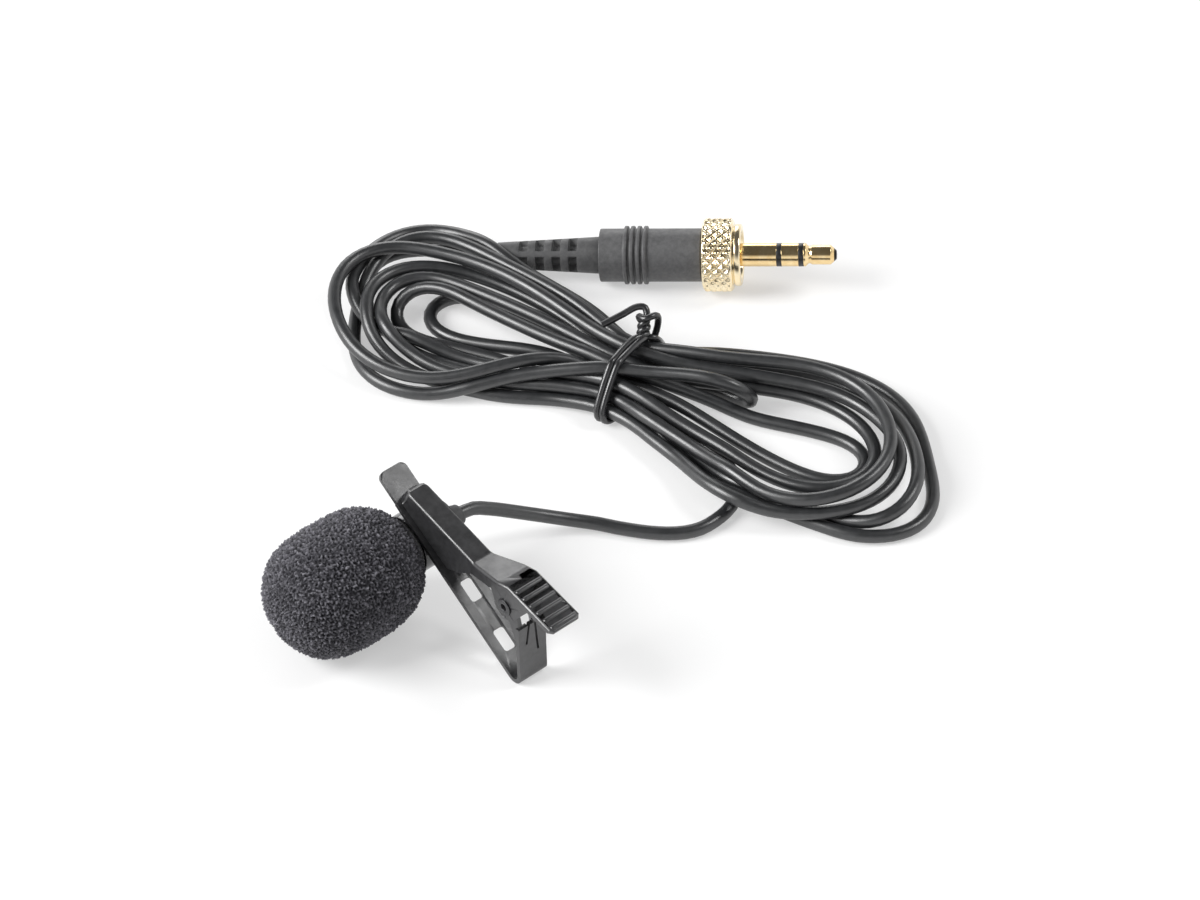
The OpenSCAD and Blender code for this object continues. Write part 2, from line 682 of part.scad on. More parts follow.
module plug_boot() {
    taper = (boot_d - boot_tail_d) / 2 / boot_l;
    color([0.09, 0.09, 0.09]) at_plug(boot_back) difference() {
        cylinder(r1 = boot_tail_d / 2, r2 = boot_d / 2, h = boot_l);
        translate([0, 0, -1]) cylinder(r = cord_r, h = boot_l + 2);
        for (i = [0 : 3]) translate([0, 0, 3.4 + i * window_step]) difference() {
            tube(boot_d, cord_r + 0.45, window_l);
            for (a = [45 : 90 : 315]) rotate(a) translate([0, -spine_w / 2, -1])
                cube([boot_d, spine_w, window_l + 2]);
        }
    }
}

core_back = -8;
room_r = 2.9;

module plug_cord_end() {
    color(cord_color) at_plug(boot_back) cylinder(r = cord_r, h = boot_l + 1.4);
}

module plug_wires() {
    from = barrel_back + 1.4;
    color([0.75, 0.5, 0.2]) for (a = [0 : 120 : 240]) at_plug(from) rotate(a) translate([0.5, 0, 0])
        cylinder(r = 0.25, h = core_back - from, $fn = 24);
}

// Grip rings: place of the first one, their spacing, width and height
grip_from = 3.7;
grip_step = 0.97;
grip_w = 0.55;
grip_proud = 0.4;

module plug_barrel() {
    color([0.09, 0.09, 0.09]) at_plug(barrel_back) difference() {
        union() {
            cylinder(r = barrel_r, h = barrel_l - 0.1);
            for (i = [0 : grip_rings - 1]) translate([0, 0, grip_from + i * grip_step])
                cylinder(r = barrel_r + grip_proud, h = grip_w);
        }
        translate([0, 0, -1]) cylinder(r = cord_r, h = 3);
        translate([0, 0, 1.2]) cylinder(r = room_r, h = barrel_l - 3.2);
        translate([0, 0, barrel_l - 3]) cylinder(r = neck_r, h = 4);
    }
}

neck_r = 2.45;
thread_r = 3.6;
lock_back = 0.1;
lock_floor = 2;
stop_r = 3.2;
stop_t = 0.7;

module locking_ring() {
    bevel = 0.35;
    lip_r = lock_r - 0.85;
    edge = 0.3;
    color([0.85, 0.68, 0.3]) at_plug(0) difference() {
        rotate_extrude() polygon([[0, lock_back], [lock_r - bevel, lock_back],
            [lock_r, lock_back + bevel], [lock_r, lock_l - bevel], [lock_r - bevel, lock_l],
            [lip_r - edge, lock_l], [lip_r, lock_l + edge], [lip_r, lip_front - edge],
            [lip_r - edge, lip_front], [0, lip_front]]);
        cylinder(r = neck_r + lock_fit, h = lock_l);
        translate([0, 0, lock_floor]) cylinder(r = thread_r, h = lip_front);
    }
}

band = 0.75;
sleeve_end = lip_front + shaft_l * 0.372;
ring_end = sleeve_end + band + 2.55;
tip_start = ring_end + band;
bore = [0.5, 0.75, 1.05, 1.3];

module sleeve_contact() {
    stop = lock_floor + 0.1;
    color([0.85, 0.68, 0.3]) at_plug(0) difference() {
        union() {
            translate([0, 0, -3]) cylinder(r = neck_r, h = 3 + stop);
            translate([0, 0, stop]) cylinder(r = stop_r, h = stop_t);
            translate([0, 0, stop + stop_t]) cylinder(r = shaft_r, h = sleeve_end - stop - stop_t);
        }
        translate([0, 0, -4]) cylinder(r = bore[3], h = sleeve_end + 5);
    }
}

module ring_insulator() {
    color([0.04, 0.04, 0.04]) at_plug(0) {
        translate([0, 0, -4]) tube(bore[3], bore[2], 4 + sleeve_end);
        translate([0, 0, sleeve_end]) tube(shaft_r, bore[2], band);
    }
}

module ring_contact() {
    color([0.85, 0.68, 0.3]) at_plug(0) {
        translate([0, 0, -5]) tube(bore[2], bore[1], 5 + sleeve_end + band);
        translate([0, 0, sleeve_end + band]) tube(shaft_r, bore[1], ring_end - sleeve_end - band);
    }
}

module tip_insulator() {
    color([0.04, 0.04, 0.04]) at_plug(0) {
        translate([0, 0, -6]) tube(bore[1], bore[0], 6 + ring_end);
        translate([0, 0, ring_end]) tube(shaft_r, bore[0], band);
    }
}

module tip_contact() {
    s = tip_start;
    e = tip_end;
    waist_r = shaft_r - 0.45;
    head_r = shaft_r - 0.28;
    color([0.85, 0.68, 0.3]) at_plug(0) rotate_extrude() polygon([[0, core_back],
        [bore[0], core_back], [bore[0], s], [shaft_r, s], [shaft_r, s + 0.3],
        [waist_r, s + 0.75], [waist_r, s + 0.95], [head_r, s + 1.3], [head_r, e - 0.9],
        [shaft_r - 0.5, e - 0.65], [0.75, e - 0.1], [0.6, e], [0, e]]);
}

windscreen();
mic_housing();
grille_cap();
grille_mesh();
capsule_gasket();
capsule_can();
diaphragm();
backplate();
circuit_board();
transistor();
inner_wires();
crimp_ring();
rear_collar();
mic_strain_relief();
mic_cord_end();
clip_base();
mic_ring();
ring_rivet();
pivot_pin();
torsion_spring();
clip_lever();
mic_cable();
cable_hank();
twist_tie();
plug_cable();
plug_boot();
plug_cord_end();
plug_wires();
plug_barrel();
locking_ring();
sleeve_contact();
ring_insulator();
ring_contact();
tip_insulator();
tip_contact();
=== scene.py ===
"""Looks of a lavalier microphone: foam windscreen, spring clip, tied hank of cord and locking 3.5 mm plug.

Lengths are written in millimetres and turned to metres by MM. The hank has its own frame: p runs along
it, q across it, with the tie at p = 0.
"""

import json
import math

import bmesh
import bpy
import numpy as np
from mathutils import Matrix, Vector, noise

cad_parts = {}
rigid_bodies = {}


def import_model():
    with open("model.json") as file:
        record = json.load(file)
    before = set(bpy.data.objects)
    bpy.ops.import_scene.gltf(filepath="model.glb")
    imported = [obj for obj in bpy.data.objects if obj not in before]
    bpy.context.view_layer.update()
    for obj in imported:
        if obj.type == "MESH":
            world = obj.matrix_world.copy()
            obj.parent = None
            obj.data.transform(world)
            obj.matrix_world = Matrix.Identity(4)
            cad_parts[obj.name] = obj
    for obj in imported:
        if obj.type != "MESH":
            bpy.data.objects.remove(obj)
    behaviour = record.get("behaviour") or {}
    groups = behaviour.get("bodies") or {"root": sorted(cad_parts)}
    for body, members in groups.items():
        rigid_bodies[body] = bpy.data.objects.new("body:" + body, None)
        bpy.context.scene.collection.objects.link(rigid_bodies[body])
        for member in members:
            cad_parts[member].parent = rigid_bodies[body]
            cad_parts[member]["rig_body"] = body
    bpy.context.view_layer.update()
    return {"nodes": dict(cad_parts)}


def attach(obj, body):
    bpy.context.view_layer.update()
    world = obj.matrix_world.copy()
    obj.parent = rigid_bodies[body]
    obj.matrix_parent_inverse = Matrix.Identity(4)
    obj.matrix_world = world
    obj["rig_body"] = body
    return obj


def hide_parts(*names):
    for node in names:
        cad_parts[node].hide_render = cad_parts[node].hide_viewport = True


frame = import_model()
MM = 0.001
TAU = 2 * math.pi
scene = bpy.context.scene


# ---- Sizes and places shared with the CAD source ----------------------------------------

CORD_D = 2.0
# Middle of the hank on the floor, and the turn of its own frame
HANK = (56.0, 21.8)
HANK_TURN = math.radians(-68)
# Middle of the windscreen, and the point where the cord leaves the microphone
FOAM_AT = np.array([-4.825, 11.014, 9.1])
MIC_EXIT = (16.025, 11.014, 9.1)
FOAM_D, FOAM_L, BODY_D = 18.2, 22.4, 7.6
# The plug lies on its locking ring. Places along it are measured forward from the back of that ring,
# and the cord comes out of the boot at BOOT_TAIL, behind it.
PLUG_YAW, PLUG_PITCH = math.radians(-46), math.radians(4.3)
LOCK_D, LOCK_L, LIP_L, NECK_R, THREAD_R = 11.0, 4.7, 1.2, 2.5, 3.6
SHAFT_L = 14.0
PLUG_DIR = np.array([
    math.cos(PLUG_PITCH) * math.cos(PLUG_YAW),
    math.cos(PLUG_PITCH) * math.sin(PLUG_YAW),
    math.sin(PLUG_PITCH),
])
PLUG_START = np.array([81.7, 32.7, LOCK_D / 2 * math.cos(PLUG_PITCH)])
BOOT_TAIL = -31.0
# The clip leans over sideways. CLIP_UP stands on the upper face of its sheet.
CLIP_LEAN = math.radians(32.44)
CLIP_UP = Vector((0, -math.sin(CLIP_LEAN), math.cos(CLIP_LEAN)))


def on_plug(s):
    """Point on the plug's axis, s in front of the back of the locking ring."""
    return PLUG_START + s * PLUG_DIR


def from_hank(points):
    """Points p, q, z of the hank's frame as x, y, z."""
    a = np.atleast_2d(np.asarray(points, float))
    c, s = math.cos(HANK_TURN), math.sin(HANK_TURN)
    return np.c_[HANK[0] + a[:, 0] * c - a[:, 1] * s, HANK[1] + a[:, 0] * s + a[:, 1] * c, a[:, 2]]


def to_hank(points):
    """Points x, y, z as p, q, z of the hank's frame."""
    a = np.atleast_2d(np.asarray(points, float)) - [*HANK, 0]
    c, s = math.cos(HANK_TURN), math.sin(HANK_TURN)
    return np.c_[a[:, 0] * c + a[:, 1] * s, -a[:, 0] * s + a[:, 1] * c, a[:, 2]]


# ---- Camera, light and floor -----------------------------------------------------------

LOOK_AT = Vector((45.80, 15.118, 0)) * MM
ELEVATION, AZIMUTH, DISTANCE = math.radians(43.2), math.radians(-41.2), 680 * MM
LENS, SENSOR = 140.7, 36.0
# The camera's directions: away from it along the floor, to its right, and along its view
level = Vector((-math.sin(AZIMUTH), math.cos(AZIMUTH), 0))
side = Vector((math.cos(AZIMUTH), math.sin(AZIMUTH), 0))
ahead = level * math.cos(ELEVATION) - Vector((0, 0, math.sin(ELEVATION)))

camera = bpy.data.objects.new("camera", bpy.data.cameras.new("camera"))
camera.data.lens, camera.data.sensor_width = LENS, SENSOR
camera.data.clip_start, camera.data.clip_end = 0.01, 20
camera.location = LOOK_AT - DISTANCE * ahead
camera.rotation_mode = "QUATERNION"
camera.rotation_quaternion = ahead.to_track_quat("-Z", "Y")
scene.collection.objects.link(camera)
scene.camera = camera
scene.view_settings.view_transform = "Standard"


def lamp(name, right, back, up, size, watts):
    """Square softbox that faces the middle of the object.

    right, back and up are metres from there, as the camera sees it.
    """
    data = bpy.data.lights.new(name, "AREA")
    data.shape, data.size, data.energy = "SQUARE", size, watts
    o = bpy.data.objects.new(name, data)
    o.location = LOOK_AT + side * right + level * back + Vector((0, 0, up))
    o.rotation_mode = "QUATERNION"
    o.rotation_quaternion = (LOOK_AT - o.location).to_track_quat("-Z", "Y")
    scene.collection.objects.link(o)


lamp("left", -0.62, -0.14, 0.48, 0.42, 7.6)
lamp("right", 0.56, 0.10, 0.68, 0.26, 2.4)
lamp("back", -0.12, 0.72, 0.24, 0.34, 0.9)


def tree_of(owner):
    owner.use_nodes = True
    tree = owner.node_tree
    tree.nodes.clear()
    return tree


def add_node(tree, kind, inputs=None, **settings):
    """Adds a node. inputs maps socket names to values, or to sockets to link from."""
    node = tree.nodes.new(kind)
    for name, value in settings.items():
        setattr(node, name, value)
    for name, value in (inputs or {}).items():
        if isinstance(value, bpy.types.NodeSocket):
            tree.links.new(value, node.inputs[name])
        else:
            node.inputs[name].default_value = value
    return node


def white_room():
    """Even light from all round, and plain white behind the object.

    Reflections see a room that is white near the floor and dark overhead.
    """
    even, overhead = 0.36, 0.10
    world = bpy.data.worlds.new("studio")
    tree = tree_of(world)
    place = add_node(tree, "ShaderNodeTexCoord")
    height = add_node(tree, "ShaderNodeSeparateXYZ", {"Vector": place.outputs["Generated"]})
    room = add_node(tree, "ShaderNodeMapRange", {
        "Value": height.outputs["Z"], "From Min": 0.30, "From Max": 0.62, "To Min": 1.0, "To Max": overhead})
    path = add_node(tree, "ShaderNodeLightPath")
    strength = add_node(tree, "ShaderNodeMix", {
        "Factor": path.outputs["Is Glossy Ray"], "A": even, "B": room.outputs[0]})
    light = add_node(tree, "ShaderNodeBackground", {"Color": (1, 1, 1, 1), "Strength": strength.outputs[0]})
    white = add_node(tree, "ShaderNodeBackground", {"Color": (1, 1, 1, 1), "Strength": 1.0})
    mix = add_node(tree, "ShaderNodeMixShader", {
        0: path.outputs["Is Camera Ray"], 1: light.outputs[0], 2: white.outputs[0]})
    add_node(tree, "ShaderNodeOutputWorld", {"Surface": mix.outputs[0]})
    return world


def paper():
    """Matt white that keeps its shadows. Seen by the camera or in reflections, part of it is plain white."""
    white_share = 0.46
    made = bpy.data.materials.new("paper")
    tree = tree_of(made)
    grain = add_node(tree, "ShaderNodeTexNoise", {"Scale": 9.0, "Detail": 3.0})
    tone = add_node(tree, "ShaderNodeMapRange", {"Value": grain.outputs[0], "To Min": 0.88, "To Max": 0.92})
    matt = add_node(tree, "ShaderNodeBsdfDiffuse", {"Color": tone.outputs[0]})
    white = add_node(tree, "ShaderNodeEmission", {"Color": (1, 1, 1, 1), "Strength": 1.0})
    path = add_node(tree, "ShaderNodeLightPath")
    seen = path.outputs["Is Camera Ray"]
    for kind in ("Is Glossy Ray", "Is Transmission Ray"):
        either = add_node(tree, "ShaderNodeMath", {0: seen, 1: path.outputs[kind]}, operation="MAXIMUM")
        seen = either.outputs[0]
    share = add_node(tree, "ShaderNodeMath", {0: seen, 1: white_share}, operation="MULTIPLY")
    mix = add_node(tree, "ShaderNodeMixShader", {
        0: share.outputs[0], 1: matt.outputs[0], 2: white.outputs[0]})
    add_node(tree, "ShaderNodeOutputMaterial", {"Surface": mix.outputs[0]})
    return made


scene.world = white_room()
FLOOR_HALF = 4.0
corners = [(-FLOOR_HALF, -FLOOR_HALF, 0), (FLOOR_HALF, -FLOOR_HALF, 0),
           (FLOOR_HALF, FLOOR_HALF, 0), (-FLOOR_HALF, FLOOR_HALF, 0)]
floor_mesh = bpy.data.meshes.new("floor")
floor_mesh.from_pydata(corners, [], [(0, 1, 2, 3)])
floor_mesh.materials.append(paper())
floor = bpy.data.objects.new("floor", floor_mesh)
scene.collection.objects.link(floor)


# ---- Materials --------------------------------------------------------------------------

def material(name, dark, light, rough, metallic=0.0, grain=400.0, bump=0.1, spec=0.5, detail=4.0,
             spread=(0.35, 0.65), stretch=(1, 1, 1), coat=0.0, sheen=0.0):
    """Two tones mixed by noise, with roughness that varies between the pair rough, and a fine bump.

    grain is the noise's scale per metre, and spread is where the noise turns from dark to light.
    """
    made = bpy.data.materials.new(name)
    tree = tree_of(made)
    place = add_node(tree, "ShaderNodeTexCoord")
    mapped = add_node(tree, "ShaderNodeMapping", {"Vector": place.outputs["Object"], "Scale": stretch})
    at = mapped.outputs[0]
    tones = add_node(tree, "ShaderNodeTexNoise", {
        "Vector": at, "Scale": grain, "Detail": detail, "Roughness": 0.6})
    ramp = add_node(tree, "ShaderNodeValToRGB", {"Fac": tones.outputs[0]})
    for stop, position, color in zip(ramp.color_ramp.elements, spread, (dark, light)):
        stop.position, stop.color = position, (*color, 1)
    smear = add_node(tree, "ShaderNodeTexNoise", {"Vector": at, "Scale": grain * 0.3, "Detail": 2.0})
    dull = add_node(tree, "ShaderNodeMapRange", {
        "Value": smear.outputs[0], "From Min": 0.3, "From Max": 0.7, "To Min": rough[0], "To Max": rough[1]})
    fine = add_node(tree, "ShaderNodeTexNoise", {"Vector": at, "Scale": grain * 6, "Detail": 2.0})
    relief = add_node(tree, "ShaderNodeBump", {
        "Height": fine.outputs[0], "Strength": bump, "Distance": 0.02 * MM})
    shader = add_node(tree, "ShaderNodeBsdfPrincipled", {
        "Base Color": ramp.outputs[0], "Roughness": dull.outputs[0], "Normal": relief.outputs[0],
        "Metallic": metallic, "Specular IOR Level": spec, "Coat Weight": coat, "Coat Roughness": 0.12,
        "Sheen Weight": sheen})
    add_node(tree, "ShaderNodeOutputMaterial", {"Surface": shader.outputs[0]})
    return made


def tone_over(mat, mask, color):
    """Lays a plain colour over a material's own tones where the socket mask is one."""
    tree = mat.node_tree
    shader = next(n for n in tree.nodes if n.bl_idname == "ShaderNodeBsdfPrincipled")
    base = shader.inputs["Base Color"]
    over = add_node(tree, "ShaderNodeMix", {0: mask, 6: base.links[0].from_socket, 7: (*color, 1)},
                    data_type="RGBA")
    tree.links.new(over.outputs[2], base)


CORD_MAT = material("cord_cover", (0.012, 0.013, 0.014), (0.022, 0.023, 0.025), (0.33, 0.41),
                    grain=900, bump=0.08, spec=1.0)
TIE_MAT = material("tie_cover", (0.012, 0.012, 0.013), (0.022, 0.022, 0.024), (0.24, 0.32),
                   grain=1200, bump=0.10, spec=0.7, coat=0.2)
PAINT = material("clip_paint", (0.017, 0.017, 0.018), (0.031, 0.031, 0.033), (0.30, 0.42),
                 grain=1500, bump=0.18, spec=0.95)
GLOSS = material("ring_gloss", (0.012, 0.012, 0.013), (0.020, 0.020, 0.022), (0.12, 0.22),
                 grain=900, bump=0.06, spec=0.6, coat=0.4)
STEEL_BODY = material("body_satin", (0.50, 0.49, 0.48), (0.64, 0.63, 0.62), (0.22, 0.34), metallic=1.0,
                      grain=700, bump=0.08, stretch=(0.15, 1, 1))
STEEL = material("spring_steel", (0.42, 0.42, 0.43), (0.58, 0.58, 0.60), (0.22, 0.36), metallic=1.0,
                 grain=900, bump=0.10)
PIN_STEEL = material("pin_steel", (0.06, 0.06, 0.062), (0.11, 0.11, 0.115), (0.25, 0.38), metallic=0.8,
                     grain=1200, bump=0.10)
RUBBER = material("boot_rubber", (0.054, 0.054, 0.056), (0.078, 0.078, 0.079), (0.46, 0.60),
                  grain=1400, bump=0.35, spec=0.45, sheen=0.1)
BARREL = material("barrel_black", (0.076, 0.076, 0.078), (0.106, 0.106, 0.108), (0.42, 0.56),
                  grain=1600, bump=0.45, spec=0.5)
GOLD = material("gold", (0.86, 0.62, 0.30), (0.94, 0.74, 0.42), (0.12, 0.22), metallic=1.0,
                grain=700, bump=0.05)
KNURL_GOLD = material("gold_knurl", (0.94, 0.78, 0.50), (1.0, 0.88, 0.64), (0.14, 0.26), metallic=1.0,
                      grain=900, bump=0.06)
BAND = material("band_resin", (0.010, 0.010, 0.010), (0.020, 0.020, 0.020), (0.28, 0.40), grain=1500)
COLLAR = material("collar_black", (0.020, 0.020, 0.021), (0.034, 0.034, 0.035), (0.28, 0.40),
                  grain=1100, bump=0.12)
# Parts that keep their CAD shape, each with its material
INNER = {
    "grille_cap": material("grille_paint", (0.03, 0.03, 0.03), (0.06, 0.06, 0.062), (0.3, 0.45), grain=1200),
    "grille_mesh": material("mesh_steel", (0.35, 0.35, 0.36), (0.6, 0.6, 0.62), (0.25, 0.4), metallic=1.0,
                            grain=3000, bump=0.6),
    "capsule_gasket": material("soft_rubber", (0.05, 0.05, 0.05), (0.09, 0.09, 0.09), (0.6, 0.8), grain=900),
    "capsule_can": material("can_metal", (0.5, 0.5, 0.51), (0.66, 0.66, 0.68), (0.2, 0.35), metallic=1.0),
    "diaphragm": material("gold_film", (0.78, 0.62, 0.3), (0.88, 0.72, 0.4), (0.15, 0.3), metallic=1.0),
    "backplate": material("brass_plate", (0.6, 0.46, 0.22), (0.74, 0.6, 0.32), (0.25, 0.4), metallic=1.0),
    "circuit_board": material("board_resin", (0.01, 0.09, 0.03), (0.03, 0.16, 0.06), (0.3, 0.5), grain=1500),
    "transistor": material("chip_resin", (0.02, 0.02, 0.02), (0.05, 0.05, 0.05), (0.4, 0.6), grain=2000),
    "inner_wires": material("wire_cover", (0.35, 0.03, 0.02), (0.5, 0.06, 0.04), (0.3, 0.45)),
    "crimp_ring": material("crimp_brass", (0.55, 0.42, 0.2), (0.7, 0.56, 0.3), (0.25, 0.4), metallic=1.0),
    "plug_wires": material("wire_copper", (0.6, 0.28, 0.12), (0.8, 0.42, 0.22), (0.25, 0.4), metallic=1.0),
    "mic_cord_end": CORD_MAT,
    "plug_cord_end": CORD_MAT,
    "torsion_spring": STEEL,
    "ring_rivet": PIN_STEEL,
}


# ---- Building helpers ---------------------------------------------------------------------

def add_piece(name, data, mat, body, replaces=()):
    """A visible piece that rides on a body, with its material's slot and the CAD nodes it stands for."""
    o = bpy.data.objects.new(name, data)
    scene.collection.objects.link(o)
    data.materials.append(mat)
    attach(o, body)
    if replaces:
        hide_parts(*replaces)
    return o


def grid_mesh(name, points):
    """Mesh over points (mm) in rows x columns x 3. Each row closes on itself."""
    rows, cols = points.shape[:2]
    faces = []
    for i in range(rows - 1):
        for k in range(cols):
            a, b = i * cols + k, i * cols + (k + 1) % cols
            faces.append((a, b, b + cols, a + cols))
    mesh = bpy.data.meshes.new(name)
    mesh.from_pydata([tuple(v) for v in points.reshape(-1, 3) * MM], [], faces)
    mesh.validate()
    mesh.shade_smooth()
    return mesh


def close_mesh(mesh):
    """Welds doubled points and turns every face outward."""
    bm = bmesh.new()
    bm.from_mesh(mesh)
    bmesh.ops.remove_doubles(bm, verts=bm.verts, dist=1e-6)
    bmesh.ops.recalc_face_normals(bm, faces=bm.faces)
    bm.to_mesh(mesh)
    bm.free()


def between_top_and_side(edge):
    """True where the clip's upper face meets a face that runs straight down from it."""
    facing = sorted(f.normal.dot(CLIP_UP) for f in edge.link_faces)
    return abs(facing[0]) < 0.15 and facing[1] > 0.55


# Below SAME_PLANE two faces of a CAD solid are joined. Above ROUNDED the edge between them is rounded,
# and above SHARP it also shades as an edge.
SAME_PLANE, ROUNDED, SHARP = math.radians(0.6), math.radians(34), math.radians(50)


def plain_solid(cad, name, fold):
    """The CAD node's mesh in millimetres, without the seams in its flat faces.

    fold is the radius of the edges between the top of the clip's sheet and its sides, or 0.
    """
    mesh = cad.data.copy()
    mesh.name = name
    mesh.materials.clear()
    mesh.transform(Matrix.Scale(1 / MM, 4))
    bm = bmesh.new()
    bm.from_mesh(mesh)
    bmesh.ops.remove_doubles(bm, verts=bm.verts, dist=2e-3)
    bmesh.ops.dissolve_limit(bm, angle_limit=SAME_PLANE, verts=bm.verts, edges=bm.edges)
    bm.normal_update()
    if fold:
        folds = [e for e in bm.edges if e.is_manifold and e.is_convex and between_top_and_side(e)]
        bmesh.ops.bevel(bm, geom=folds, offset=fold, segments=4, profile=0.5, affect="EDGES")
    bm.to_mesh(mesh)
    bm.free()
    return mesh


def rounded(mesh, name, width, segments):
    """The mesh with its edges rounded by width, as a new mesh."""
    o = bpy.data.objects.new(name, mesh)
    scene.collection.objects.link(o)
    bevel = o.modifiers.new("edges", "BEVEL")
    bevel.width, bevel.segments, bevel.limit_method = width, segments, "ANGLE"
    bevel.angle_limit = ROUNDED
    bevel.use_clamp_overlap = True
    bpy.context.view_layer.update()
    shaped = bpy.data.meshes.new_from_object(o.evaluated_get(bpy.context.evaluated_depsgraph_get()))
    bpy.data.objects.remove(o)
    return shaped


def dress(node, mat, edge, segments=2, fold=0.0):
    """A copy of a CAD node with its sharp edges rounded by edge (mm), which stands for the node."""
    cad = frame["nodes"][node]
    name = node + "_form"
    shaped = rounded(plain_solid(cad, name, fold), name, edge, segments)
    bm = bmesh.new()
    bm.from_mesh(shaped)
    for e in bm.edges:
        e.smooth = not e.is_manifold or e.calc_face_angle(0) < SHARP
    bmesh.ops.triangulate(bm, faces=[f for f in bm.faces if len(f.verts) > 4])
    bm.to_mesh(shaped)
    bm.free()
    shaped.transform(Matrix.Scale(MM, 4))
    shaped.shade_smooth()
    piece = add_piece(name, shaped, mat, cad["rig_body"], [node])
    # Normals weighted by face size keep the flat faces flat beside their rounded edges
    normals = piece.modifiers.new("normals", "WEIGHTED_NORMAL")
    normals.keep_sharp = True
    return piece


# ---- Cord -----------------------------------------------------------------------------------

# The free stretch from the microphone as x, y, z, up to where it enters the hank
MIC_ROUTE = [
    MIC_EXIT, (18, 11, 8.8), (20, 10.6, 7.9), (22, 10.1, 6.8), (25.5, 8.9, 4.8), (28.8, 7.4, 3.1),
    (31.9, 5.3, 1.9), (34.5, 2.9, 1.3), (36.9, -0.3, 1), (39.5, -3.6, 1), (42.3, -6.1, 1),
    (45.2, -7.4, 1), (50.6, -7.1, 1), (54, -5.3, 1), (56.2, -2.3, 1), (57, 1.5, 1), (57, 6, 1),
    (56.9, 11.5, 1), (57, 16.5, 1),
]
